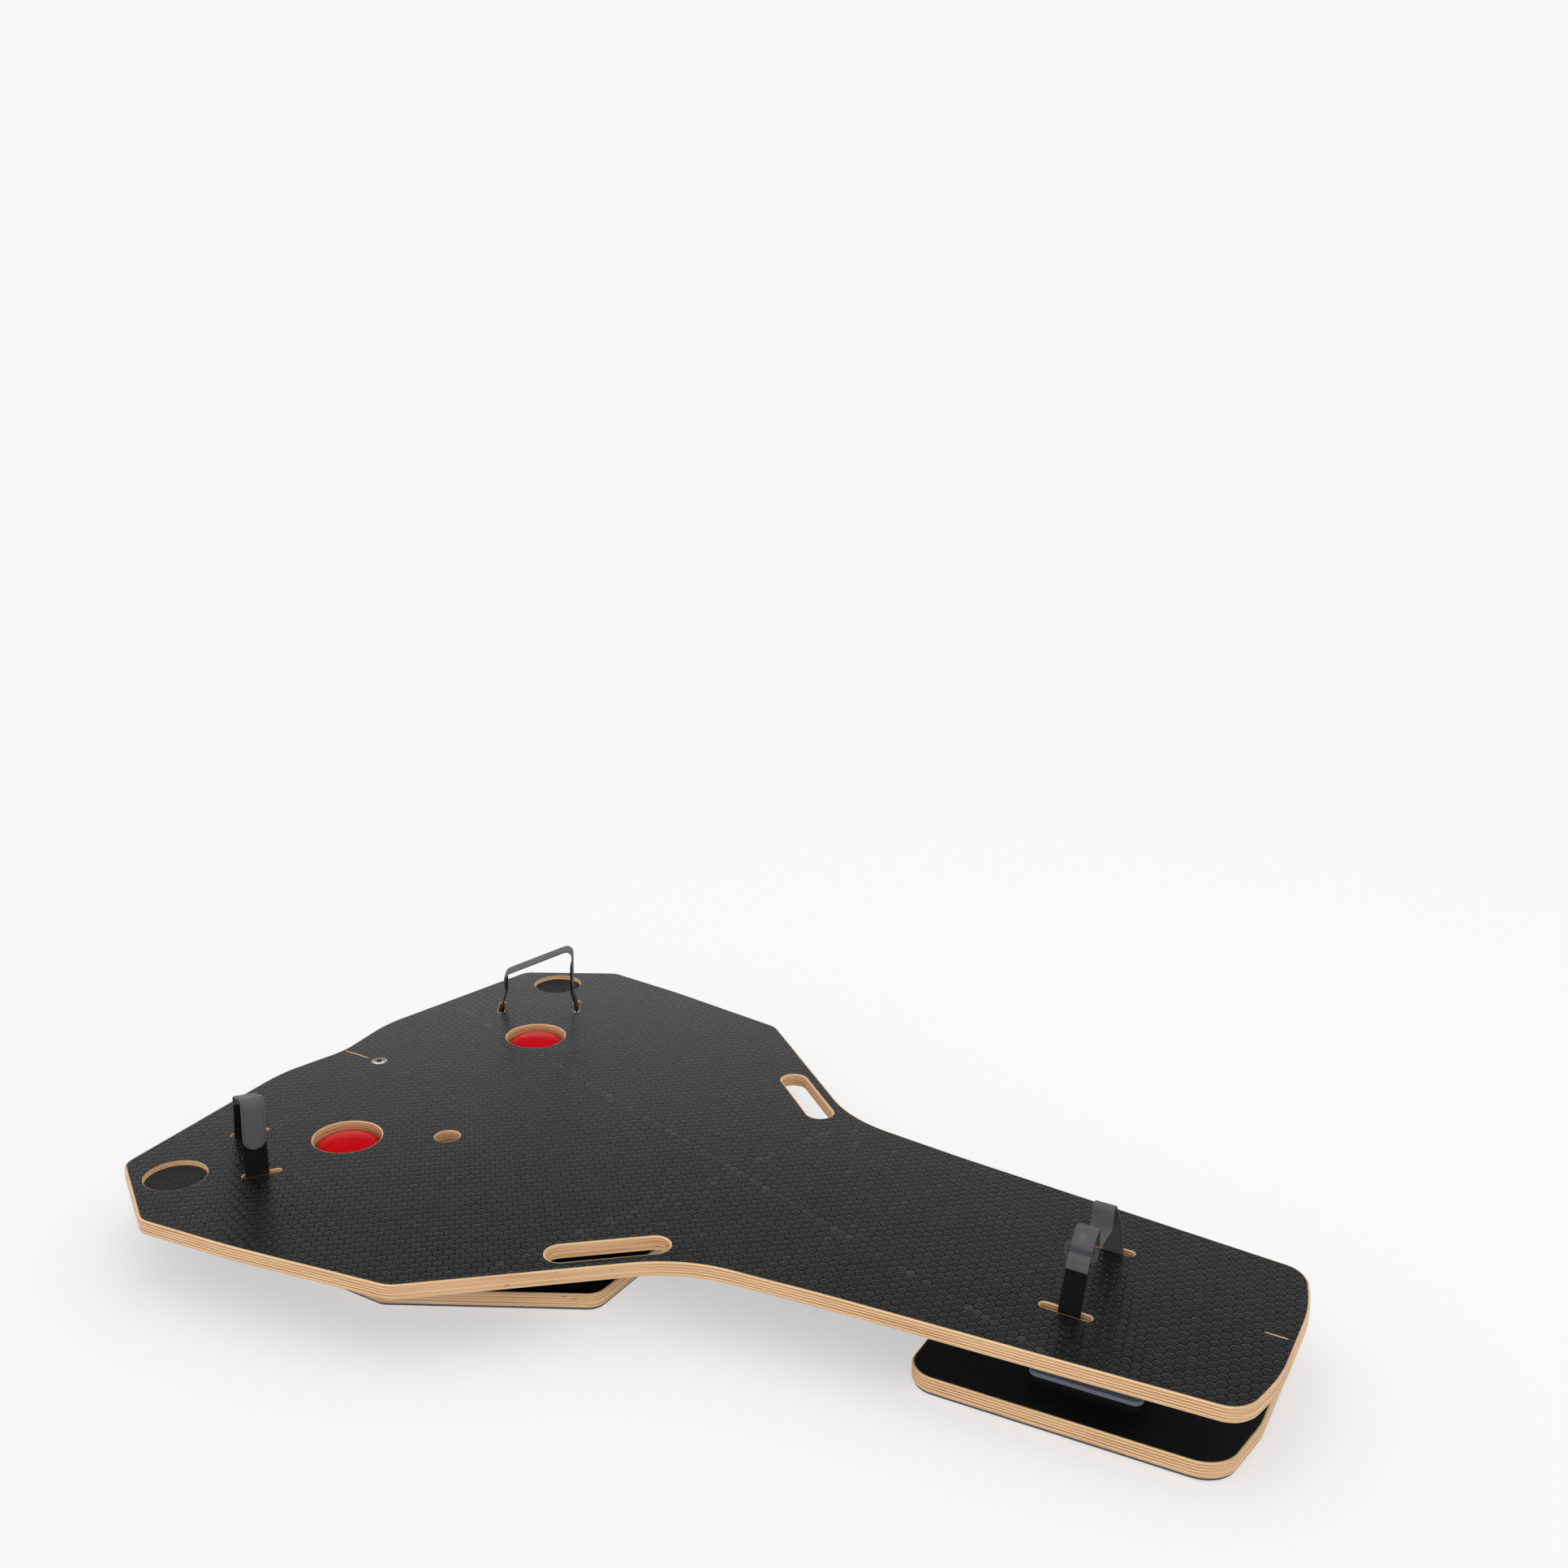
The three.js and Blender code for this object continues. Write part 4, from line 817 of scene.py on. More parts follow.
def strap_direction(side):
    """Direction in which a tail strap runs, from its rear slot to its front slot."""
    return Vector((math.sin(TAIL_SLOT_TURN), side * math.cos(TAIL_SLOT_TURN)))


def handle_place():
    """Centre and turn of the left handle slot, one web in from the slanted side."""
    start, end = (Vector(deck_corners()[corner][:2]) for corner in SLANT_CORNERS)
    along = (end - start).normalized()
    inwards = Vector((along.y, -along.x))
    centre = start.lerp(end, HANDLE_ALONG_SHARE) + inwards * (HANDLE_WEB + HANDLE_SIZE[1] / 2)
    return centre, math.atan2(along.y, along.x)


def upright(box):
    """Centre, radius, lowest and highest height of an upright round piece, from its box."""
    low, high = box
    centre = Vector(((low[0] + high[0]) / 2, (low[1] + high[1]) / 2, 0))
    return centre, (high[0] - low[0]) / 2, low[2], high[2]


# ---------------------------------------------------------------- mesh making


def round_over(radius, segments=5):
    """Steps (distance from the wall, depth) of a quarter round, from the face down to the wall."""
    angles = (math.pi / 2 * number / segments for number in range(segments + 1))
    return [(radius * (1 - math.sin(angle)), radius * (1 - math.cos(angle))) for angle in angles]


def mesh_rows(mesh, rows, closed=False, index=0):
    """Smooth quads between rings of vertices; returns the faces row by row."""
    strips = []
    for lower, upper in zip(rows, rows[1:] + (rows[:1] if closed else [])):
        strip = []
        for number in range(len(lower)):
            after = (number + 1) % len(lower)
            face = mesh.faces.new((lower[number], lower[after], upper[after], upper[number]))
            face.smooth = True
            face.material_index = index
            strip.append(face)
        strips.append(strip)
    return strips


def cap_ends(mesh, rows):
    """Closes a tube at its first and last ring."""
    mesh.faces.new(rows[0][::-1])
    mesh.faces.new(rows[-1])


def linked(name, data):
    """A new object that shows in the scene."""
    thing = bpy.data.objects.new(name, data)
    bpy.context.scene.collection.objects.link(thing)
    return thing


def piece_from(mesh, name, finishes):
    """A new object from a bmesh, which is freed."""
    data = bpy.data.meshes.new(name)
    mesh.to_mesh(data)
    mesh.free()
    for key in finishes:
        data.materials.append(finish(key))
    return linked(name, data)


def settle(piece, body, slot, *nodes):
    """Gives a finished piece its body, if it has just one, and the nodes it stands for; its slot is
    not used.
    """
    if body:
        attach(piece, body)
    if nodes:
        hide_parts(*nodes)


class Board:
    """A flat plate with rounded edges and openings."""

    def __init__(self, outline, low, high, edge_round):
        self.low, self.high, self.edge_round = low, high, edge_round
        self.mesh = bmesh.new()
        self.top, self.bottom = [], []
        self.wall(outline, [(-reach, height) for reach, height in self.through_steps(edge_round)])

    def through_steps(self, radius):
        """Steps (distance from the wall, height) from the upper face to the lower one."""
        steps = round_over(radius)
        top = [(reach, self.high - depth) for reach, depth in steps]
        return top + [(reach, self.low + depth) for reach, depth in steps[::-1]]

    def wall(self, loop, steps, through=True):
        """Adds the rings (distance outwards from the loop, height) of a wall, or of a pocket."""
        rows = [
            [self.mesh.verts.new((point.x, point.y, height)) for point in offset(loop, reach)]
            for reach, height in steps
        ]
        mesh_rows(self.mesh, rows[::-1], index=1)
        self.top.append(rows[0])
        if through:
            self.bottom.append(rows[-1])
        else:
            self.mesh.faces.new(rows[-1]).material_index = 1

    def hole(self, loop, edge_round=None):
        """Cuts an opening, whose edges are rounded as the outline's unless it is said."""
        self.wall(loop, self.through_steps(self.edge_round if edge_round is None else edge_round))

    def pocket(self, loop, depth, edge_round):
        """Sinks a flat pocket into the upper face."""
        steps = [(reach, self.high - down) for reach, down in round_over(edge_round, 3)]
        self.wall(loop, [*steps, (0, self.high - depth)], through=False)

    def close(self, name, finishes):
        """Fills the faces; the finishes are for the top, the edges and, if given, the underside."""
        for rows, index in ((self.top, 0), (self.bottom, 2 if len(finishes) > 2 else 0)):
            flat = [vertex for row in rows for vertex in row]
            loops = [[vertex.co for vertex in row] for row in rows]
            for triangle in tessellate_polygon(loops):
                self.mesh.faces.new([flat[corner] for corner in triangle]).material_index = index
        bmesh.ops.recalc_face_normals(self.mesh, faces=self.mesh.faces)
        return piece_from(self.mesh, name, finishes)


def round_shape(turn):
    """Reach of a circle."""
    return 1


def hexagon_shape(turn):
    """Reach of a hexagon whose corners lie at 1."""
    return math.cos(math.pi / 6) / math.cos(turn % (math.pi / 3) - math.pi / 6)


def cross_shape(turn):
    """Reach of a cross recess whose arms are 1 long."""
    folded = turn % (math.pi / 2)
    folded = min(folded, math.pi / 2 - folded)
    if folded <= CROSS_ARM + 1e-6:
        return 1 / math.cos(folded)
    return math.tan(CROSS_ARM) / math.sin(folded)


def shaped(rings, shape=round_shape):
    """Rings (radius, height) with the shape that they all have."""
    return [(radius, height, shape) for radius, height in rings]


# Drives of the screws: radius share of the tip, share of the length where the taper to it starts,
# head, recess and the recess's shape
SCREW_DRIVES = {
    "cross": (0.35, 0.88, PAN_HEAD, CROSS_RECESS, cross_shape),
    "socket": (0.8, 0.93, CAP_HEAD, HEXAGON_SOCKET, hexagon_shape),
}


def screw_rings(drive, length):
    """Rings of a screw with a shank of a length below a head that is 1 in radius and 1 high."""
    tip, full, head, recess, shape = SCREW_DRIVES[drive]
    shank = ((SHANK_RADIUS * tip, -length), (SHANK_RADIUS, -length * full), (SHANK_RADIUS, 0))
    return shaped(shank + head) + shaped(recess, shape)


def sharpen(mesh, degrees):
    """Marks the edges that are sharper than an angle."""
    for edge in mesh.edges:
        edge.smooth = len(edge.link_faces) == 2 and edge.calc_face_angle(0) < math.radians(degrees)


def turned(rings, sides=24, smooth_angle=40):
    """A turned solid from rings (radius, height, shape), closed at both ends."""
    mesh = bmesh.new()
    turns = [2 * math.pi * number / sides for number in range(sides)]
    rows = []
    for radius, height, shape in rings:
        reaches = [(radius * shape(turn), turn) for turn in turns]
        rows.append([
            mesh.verts.new((reach * math.cos(turn), reach * math.sin(turn), height))
            for reach, turn in reaches
        ])
    mesh_rows(mesh, rows)
    cap_ends(mesh, rows)
    bmesh.ops.recalc_face_normals(mesh, faces=mesh.faces)
    sharpen(mesh, smooth_angle)
    return mesh


def merged(node):
    """A bmesh of a CAD node whose loose triangles are joined."""
    mesh = bmesh.new()
    mesh.from_mesh(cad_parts[node].data)
    bmesh.ops.remove_doubles(mesh, verts=mesh.verts, dist=1e-6)
    return mesh


def refined(node, finish_name, width, name=None, angle=30):
    """A copy of a CAD node with the edges broken that are sharper than an angle."""
    mesh = merged(node)
    bmesh.ops.dissolve_limit(
        mesh, angle_limit=math.radians(FLAT_ANGLE), verts=mesh.verts, edges=mesh.edges
    )
    limit = math.radians(angle)
    sharp = [
        edge for edge in mesh.edges if len(edge.link_faces) == 2 and edge.calc_face_angle(0) > limit
    ]
    bmesh.ops.bevel(
        mesh, geom=sharp, offset=width, offset_type="OFFSET", segments=2, profile=0.6,
        affect="EDGES", clamp_overlap=True
    )
    bmesh.ops.remove_doubles(mesh, verts=mesh.verts, dist=1e-7)
    low, high = (math.radians(degrees) for degrees in CURVED_ANGLES)
    for face in mesh.faces:
        turns = [edge.calc_face_angle(0) for edge in face.edges if len(edge.link_faces) == 2]
        face.smooth = any(low < turn < high for turn in turns)
        face.material_index = 0
    sharpen(mesh, SHARP_ANGLE)
    bmesh.ops.triangulate(mesh, faces=[face for face in mesh.faces if len(face.verts) > 4])
    return piece_from(mesh, name or node + "_dressed", [finish_name])


# ---------------------------------------------------------------- geometry node trees


class Builder(Graph):
    """A Geometry Nodes tree with named inputs that sets instances on points."""

    def __init__(self, name, **inputs):
        super().__init__(bpy.data.node_groups.new(name, "GeometryNodeTree"))
        self.socket("Geometry", "Geometry")
        for label, kind in inputs.items():
            self.socket(label.replace("_", " "), kind)
        self.socket("Finish", "Material")
        self.socket("Geometry", "Geometry", "OUTPUT")
        self.entry = self.tree.nodes.new("NodeGroupInput")

    def socket(self, label, kind, side="INPUT"):
        """Adds an input or output to the tree."""
        self.tree.interface.new_socket(label, in_out=side, socket_type="NodeSocket" + kind)

    def given(self, label):
        """The tree's named input."""
        return Wire(self, self.entry.outputs[label])

    def end(self, points, instance, rotation, scale):
        """Sets the instance on the points, makes it real, dresses it and closes the tree."""
        sockets = {"Points": points, "Instance": instance, "Rotation": rotation, "Scale": scale}
        placed = self.node("GeometryNodeInstanceOnPoints", sockets)
        real = self.node("GeometryNodeRealizeInstances", {0: placed})
        sockets = {"Geometry": real, "Material": self.given("Finish")}
        dressed = self.node("GeometryNodeSetMaterial", sockets)
        self.node("NodeGroupOutput", {0: dressed})
        return self.tree


def fastener_tree():
    """Sets one fastener on every point, each turned by chance about its own axis."""
    make = Builder(
        "fasteners on points",
        Fastener="Object", Head_Radius="Float", Head_Height="Float", Tilt="Float", Seed="Int",
    )
    shape = make.node("GeometryNodeObjectInfo", {"Object": make.given("Fastener")}, "Geometry")
    turns = {2: 0.0, 3: 2 * math.pi, "Seed": make.given("Seed")}
    spin = make.node("FunctionNodeRandomValue", turns, 1, data_type="FLOAT")
    radius = make.given("Head Radius")
    return make.end(
        make.given("Geometry"),
        shape,
        make.combine(make.given("Tilt"), 0, spin),
        make.combine(radius, radius, make.given("Head Height")),
    )


def stitch_tree():
    """Sets stitches along the edges of a seam."""
    make = Builder(
        "stitches along a seam", Stitch_Pitch="Float", Stitch_Length="Float", Thread_Radius="Float"
    )
    sockets = {
        "Curve": make.node("GeometryNodeMeshToCurve", {0: make.given("Geometry")}),
        "Length": make.given("Stitch Pitch"),
    }
    sampled = make.node("GeometryNodeResampleCurve", sockets, mode="LENGTH")
    stitch = make.node("GeometryNodeMeshUVSphere", {"Segments": 8, "Rings": 6, "Radius": 1.0})
    tangent = make.node("GeometryNodeInputTangent")
    turn = make.node("FunctionNodeAlignRotationToVector", {"Vector": tangent}, axis="X")
    half, radius = make.given("Stitch Length") * 0.5, make.given("Thread Radius")
    return make.end(sampled, stitch, turn, make.combine(half, radius, radius))


def grown(name, points, edges, tree, values):
    """A plain mesh from points and edges run through a tree."""
    data = bpy.data.meshes.new(name + "_points")
    data.from_pydata(points, edges, [])
    seed = linked(name + "_points", data)
    modifier = seed.modifiers.new("grow", "NODES")
    modifier.node_group = tree
    items = (item for item in tree.interface.items_tree if item.in_out == "INPUT")
    named = {item.name: item.identifier for item in items}
    for label, value in values.items():
        modifier[named[label]] = value
    depsgraph = bpy.context.evaluated_depsgraph_get()
    result = bpy.data.meshes.new_from_object(seed.evaluated_get(depsgraph), depsgraph=depsgraph)
    bpy.data.objects.remove(seed)
    bpy.data.meshes.remove(data)
    result.name = name
    for polygon in result.polygons:
        polygon.use_smooth = True
    return linked(name, result)


# ---------------------------------------------------------------- straps


def resample(path, step):
    """Points at even steps along an open path."""
    lengths = [0.0]
    for first, second in zip(path, path[1:]):
        lengths.append(lengths[-1] + (second - first).length)
    count = max(2, round(lengths[-1] / step))
    result, index = [], 0
    for number in range(count + 1):
        target = lengths[-1] * number / count
        while index < len(path) - 2 and lengths[index + 1] < target:
            index += 1
        span = lengths[index + 1] - lengths[index]
        share = (target - lengths[index]) / span if span else 0
        result.append(path[index].lerp(path[index + 1], share))
    return result


def path_normals(path, closed=False):
    """Outward normals of a path that runs clockwise."""
    normals = []
    count = len(path)
    for index in range(count):
        before = path[index - 1] if closed or index else path[0]
        after = path[(index + 1) % count] if closed or index < count - 1 else path[-1]
        along = (after - before).normalized()
        normals.append(Vector((-along.y, along.x)))
    return normals


def walked(corners, step):
    """Points at even steps along a strap's path, each as (point, outward normal, way so far)."""
    path = resample(rounded(corners, False, STRAP_ARC_STEP), step)
    places, way = [], 0.0
    for index, (point, normal) in enumerate(zip(path, path_normals(path))):
        if index:
            way += (point - path[index - 1]).length
        places.append((point, normal, way))
    return places


def flipped(corners):
    """The same corners on the path's other side, in the opposite order."""
    return [(-across, up, bend) for across, up, bend in corners[::-1]]


def flank(up, out, bend):
    """A corner of the front strap's path on its near flank: up from the buckle's middle and out."""
    hip_across, hip_up, _ = NOSE_STRAP_HIP
    across = (BUCKLE_RISE - hip_up) * math.tan(BUCKLE_LEAN) - hip_across
    return (
        across + up * math.sin(BUCKLE_LEAN) - out * math.cos(BUCKLE_LEAN),
        BUCKLE_RISE + up * math.cos(BUCKLE_LEAN) + out * math.sin(BUCKLE_LEAN),
        bend,
    )


class Band:
    """A strap that follows a path in its own upright plane."""

    def __init__(self, origin, across, width):
        self.origin = Vector(origin)
        self.across = Vector((*across, 0)).normalized()
        self.wide = Vector((-self.across.y, self.across.x, 0))
        self.width = width

    def at(self, point, sideways):
        """A point of the strap's plane in space, moved sideways out of it."""
        across, up = point
        return self.origin + self.across * across + Vector((0, 0, up)) + self.wide * sideways

    def section(self):
        """Points (sideways, outwards) of the section, with soft edges and crowned faces."""
        half, thick = self.width / 2, STRAP_THICKNESS / 2
        soft = thick * STRAP_SOFT_SHARE
        points = []
        for end in (1, -1):
            for share in (-0.66, -0.33, 0, 0.33, 0.66):
                crown = 1 + STRAP_CROWN * (1 - share * share)
                points.append((end * share * half, -end * thick * crown))
            for turn in (-90, -45, 0, 45, 90):
                angle = math.radians(turn)
                reach = half - soft + soft * math.cos(angle)
                points.append((end * reach, end * thick * math.sin(angle)))
        return points

    def sweep(self, name, corners, finish_name, round_end=False):
        """The strap's mesh along its corners."""
        places = walked(corners, STRAP_STEP)
        mesh = bmesh.new()
        layer = mesh.loops.layers.uv.new("along")
        section = self.section()
        rows = []
        for index, (point, normal, _) in enumerate(places):
            left = min(1.0, (len(places) - 1 - index) * STRAP_STEP / (self.width / 2))
            rounding = max(TAIL_STRAP_TIP_SHARE, math.sqrt(1 - (1 - left) ** 2))
            shrink = rounding if round_end else 1.0
            rows.append([
                mesh.verts.new(self.at(point + normal * outwards, sideways * shrink))
                for sideways, outwards in section
            ])
        for (_, _, start), (_, _, end), strip in zip(places, places[1:], mesh_rows(mesh, rows)):
            for number, face in enumerate(strip):
                after = (number + 1) % len(section)
                marks = ((start, number), (start, after), (end, after), (end, number))
                for loop, (way, side) in zip(face.loops, marks):
                    loop[layer].uv = (way, section[side][0])
        cap_ends(mesh, rows)
        bmesh.ops.recalc_face_normals(mesh, faces=mesh.faces)
        return piece_from(mesh, name, [finish_name])

    def seam(self, corners, sideways, start):
        """Points of a sewing line on the strap's outer face, from a length along it to its end."""
        out = STRAP_THICKNESS / 2 * SEAM_OUT_SHARE
        return [
            self.at(point + normal * out, sideways)
            for point, normal, way in walked(corners, SEAM_STEP)
            if way >= start
        ]


def sew(name, seams, body, slot):
    """One piece of stitches along several seams."""
    straps = bpy.context.scene.rocker_straps
    points, edges = [], []
    for seam in seams:
        first = len(points)
        points += seam
        edges += [(number, number + 1) for number in range(first, len(points) - 1)]
    values = {
        "Stitch Pitch": straps.stitch_pitch,
        "Stitch Length": straps.stitch_length,
        "Thread Radius": straps.thread_radius,
        "Finish": finish("sewing_thread"),
    }
    settle(grown(name, points, edges, stitch_tree(), values), body, slot)


def rod(mesh, path, closed, half_wide, half_thick, sides=12):
    """A rod with an oval section along a flat path in X and Y."""
    rows = []
    for point, normal in zip(path, path_normals(path, closed)):
        row = []
        for number in range(sides):
            turn = 2 * math.pi * number / sides
            side, rise = (
                math.copysign(abs(part) ** BUCKLE_OVAL, part)
                for part in (math.cos(turn), math.sin(turn))
            )
            place = point + normal * (side * half_wide)
            row.append(mesh.verts.new((place.x, place.y, rise * half_thick)))
        rows.append(row)
    mesh_rows(mesh, rows, closed)
    if not closed:
        cap_ends(mesh, rows)


# ---------------------------------------------------------------- air balls


def ball_profile(node, centre):
    """Smooth outline (radius, height) of a ball, read from its solid's rings."""
    mesh = merged(node)
    rings = {}
    for vertex in mesh.verts:
        key = round(vertex.co.z, 5)
        rings[key] = max(rings.get(key, 0), (vertex.co.xy - centre.xy).length)
    mesh.free()
    points = [Vector((radius, height)) for height, radius in sorted(rings.items())]
    points = [Vector((0, points[0].y)), *points, Vector((0, points[-1].y))]
    for _ in range(3):
        cut = [points[0]]
        for first, second in zip(points, points[1:]):
            cut += [first.lerp(second, 0.25), first.lerp(second, 0.75)]
        points = [*cut, points[-1]]
    kept = [points[0]]
    for point in points[1:]:
        if (point - kept[-1]).length > BALL_RING_GAP:
            kept.append(point)
    return [(max(point.x, BALL_POLE_RADIUS), point.y) for point in kept]


def wrinkled(mesh, sign, low, high, depth):
    """Presses folds and a mould seam into the free part of a ball's skin."""
    fine_share, fine_scale = FINE_FOLDS
    for vertex in mesh.verts:
        x, y, z = vertex.co
        reach = math.hypot(x, y)
        share = (z - low) / (high - low)
        free = max(0.0, min(1.0, 4 * share * (1 - share))) * min(1.0, reach / FOLD_FADE)
        shift = Vector((0, 0, FOLD_SHIFT * sign))
        spot = Vector((x, y, z * FOLD_STRETCH)) * FOLD_SCALE + shift
        fold = noise.noise(spot) + fine_share * noise.noise(spot * fine_scale)
        off_seam = (share - MOULD_SEAM_SHARE) * MOULD_SEAM_SHARPNESS
        seam = MOULD_SEAM_DEPTH * math.exp(-(off_seam**2))
        away = Vector((x, y, 0)) / max(reach, 1e-4)
        vertex.co += away * (depth * free * (FOLD_HEIGHT * fold - FOLD_DEPTH - seam))


# ---------------------------------------------------------------- operators


class ROCKER_OT_deck(bpy.types.Operator):
    """Makes the plywood deck with its slots, ball holes, pockets and centre lines"""

    bl_idname = "rocker.deck"
    bl_label = "Deck"
    bl_options = {"REGISTER", "UNDO"}

    def execute(self, context):
        edge_round = context.scene.rocker_wood.edge_round
        board = Board(mirrored(deck_corners()), DECK_LOW, DECK_HIGH, edge_round)
        board.hole(circle(*CABLE_HOLE), CABLE_HOLE_EDGE)
        handle, handle_turn = handle_place()
        for side in (1, -1):
            x, y = BALL_PLACE
            board.hole(circle(x, side * y, BALL_HOLE_RADIUS), BALL_HOLE_EDGE)
            board.hole(slot_loop(HANDLE_SIZE, handle.x, side * handle.y, side * handle_turn))
            x, y = NOSE_SLOT_PLACE
            board.hole(slot_loop(NOSE_SLOT_SIZE, x, side * y, 0), NOSE_SLOT_EDGE)
            for end in (1, -1):
                centre = Vector((TAIL_SLOT_PLACE[0], side * TAIL_SLOT_PLACE[1]))
                centre += strap_direction(side) * (end * TAIL_SLOT_DISTANCE / 2)
                loop = slot_loop(TAIL_SLOT_SIZE, centre.x, centre.y, -side * TAIL_SLOT_TURN)
                board.hole(loop, TAIL_SLOT_EDGE)
            x, y = POCKET_PLACE
            board.pocket(circle(x, side * y, POCKET_RADIUS), POCKET_DEPTH, POCKET_EDGE)
        half, depth = CENTRE_LINE_SIZE[0] / 2, CENTRE_LINE_SIZE[1]
        for start, end in CENTRE_LINES:
            corners = ((start, -half), (end, -half), (end, half), (start, half))
            board.pocket([Vector(corner) for corner in corners], depth, CENTRE_LINE_EDGE)
        centre, reach, *_ = upright(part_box("centre_screw"))
        seat = [(outwards, DECK_HIGH - depth) for outwards, depth in SCREW_SEAT]
        board.wall(circle(centre.x, 0, reach), seat)
        piece = board.close("deck_panel", ["hexagon_film", "deck_edge", "plain_film"])
        settle(piece, "deck", "film_plywood", "deck_plate")
        return {"FINISHED"}


class ROCKER_OT_floor_plates(bpy.types.Operator):
    """Makes the two plywood plates that stand on the floor, with their mats"""

    bl_idname = "rocker.floor_plates"
    bl_label = "Floor Plates"
    bl_options = {"REGISTER", "UNDO"}

    def execute(self, context):
        for end, corners in BASE_CORNERS.items():
            outline = mirrored(corners)
            board = Board(outline, BASE_LOW, BASE_HIGH, context.scene.rocker_wood.edge_round)
            piece = board.close(end + "_floor_panel", ["plain_film", "floor_plate_edge"])
            settle(piece, "base", "film_plywood", end + "_base_plate")
            low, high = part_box(end + "_base_mat")
            mat = Board(offset(outline, -MAT_INSET), low[2], high[2], MAT_EDGE)
            piece = mat.close(end + "_floor_mat", ["mat_rubber", "mat_rubber"])
            settle(piece, "base", "mat_rubber", end + "_base_mat")
        return {"FINISHED"}


class ROCKER_OT_glide_pads(bpy.types.Operator):
    """Makes the grey low-friction pads and the rubber discs in the foot pockets"""

    bl_idname = "rocker.glide_pads"
    bl_label = "Glide Pads and Foot Pads"
    bl_options = {"REGISTER", "UNDO"}

    def execute(self, context):
        for end in ("front", "rear"):
            node = end + "_glide_pad"
            piece = refined(node, "glide_pad", GLIDE_PAD_EDGE, end + "_glide_sheet", angle=60)
            settle(piece, "base", "grey_glide", node)
        for side in ("left", "right"):
            centre, reach, low, top = upright(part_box("foot_pad_" + side))
            rings = [(reach - FOOT_PAD_EDGE, low), (reach, low + FOOT_PAD_LOW_EDGE)]
            rings += [(reach, top - FOOT_PAD_EDGE), (reach - FOOT_PAD_EDGE, top)]
            for share in FOOT_PAD_RIDGES:
                ridge = reach * share
                rings += [(ridge - inwards, top - down) for inwards, down in FOOT_PAD_GROOVE]
            mesh = turned(shaped(rings), sides=72)
            bmesh.ops.translate(mesh, verts=mesh.verts, vec=centre)
            piece = piece_from(mesh, "pocket_disc_" + side, ["black_rubber"])
            settle(piece, "deck", "black_rubber", "foot_pad_" + side)
        return {"FINISHED"}


class ROCKER_OT_air_balls(bpy.types.Operator):
    """Makes the two red air balls, pressed between their cups and the deck"""

    bl_idname = "rocker.air_balls"
    bl_label = "Air Balls"
    bl_options = {"REGISTER", "UNDO"}

    def execute(self, context):
        for side, sign in (("left", 1), ("right", -1)):
            node = "air_ball_" + side
            centre = Vector((BALL_PLACE[0], sign * BALL_PLACE[1], 0))
            low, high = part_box(node)
            rings = shaped(ball_profile(node, centre))
            mesh = turned(rings, sides=128, smooth_angle=180)
            wrinkled(mesh, sign, low[2], high[2], context.scene.rocker_balls.wrinkle)
            bmesh.ops.translate(mesh, verts=mesh.verts, vec=centre)
            piece = piece_from(mesh, "air_ball_skin_" + side, ["air_ball_skin"])
            self.press(piece, centre, low[2])
            settle(piece, None, "red_rubber", node)
            plug = "ball_plug_" + side
            piece = refined(plug, "black_rubber", PLUG_EDGE)
            self.press(piece, centre, low[2])
            settle(piece, None, "black_rubber", plug)
        return {"FINISHED"}

    def press(self, piece, centre, foot):
        """Bakes the piece's placement into its mesh."""
        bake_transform(piece)


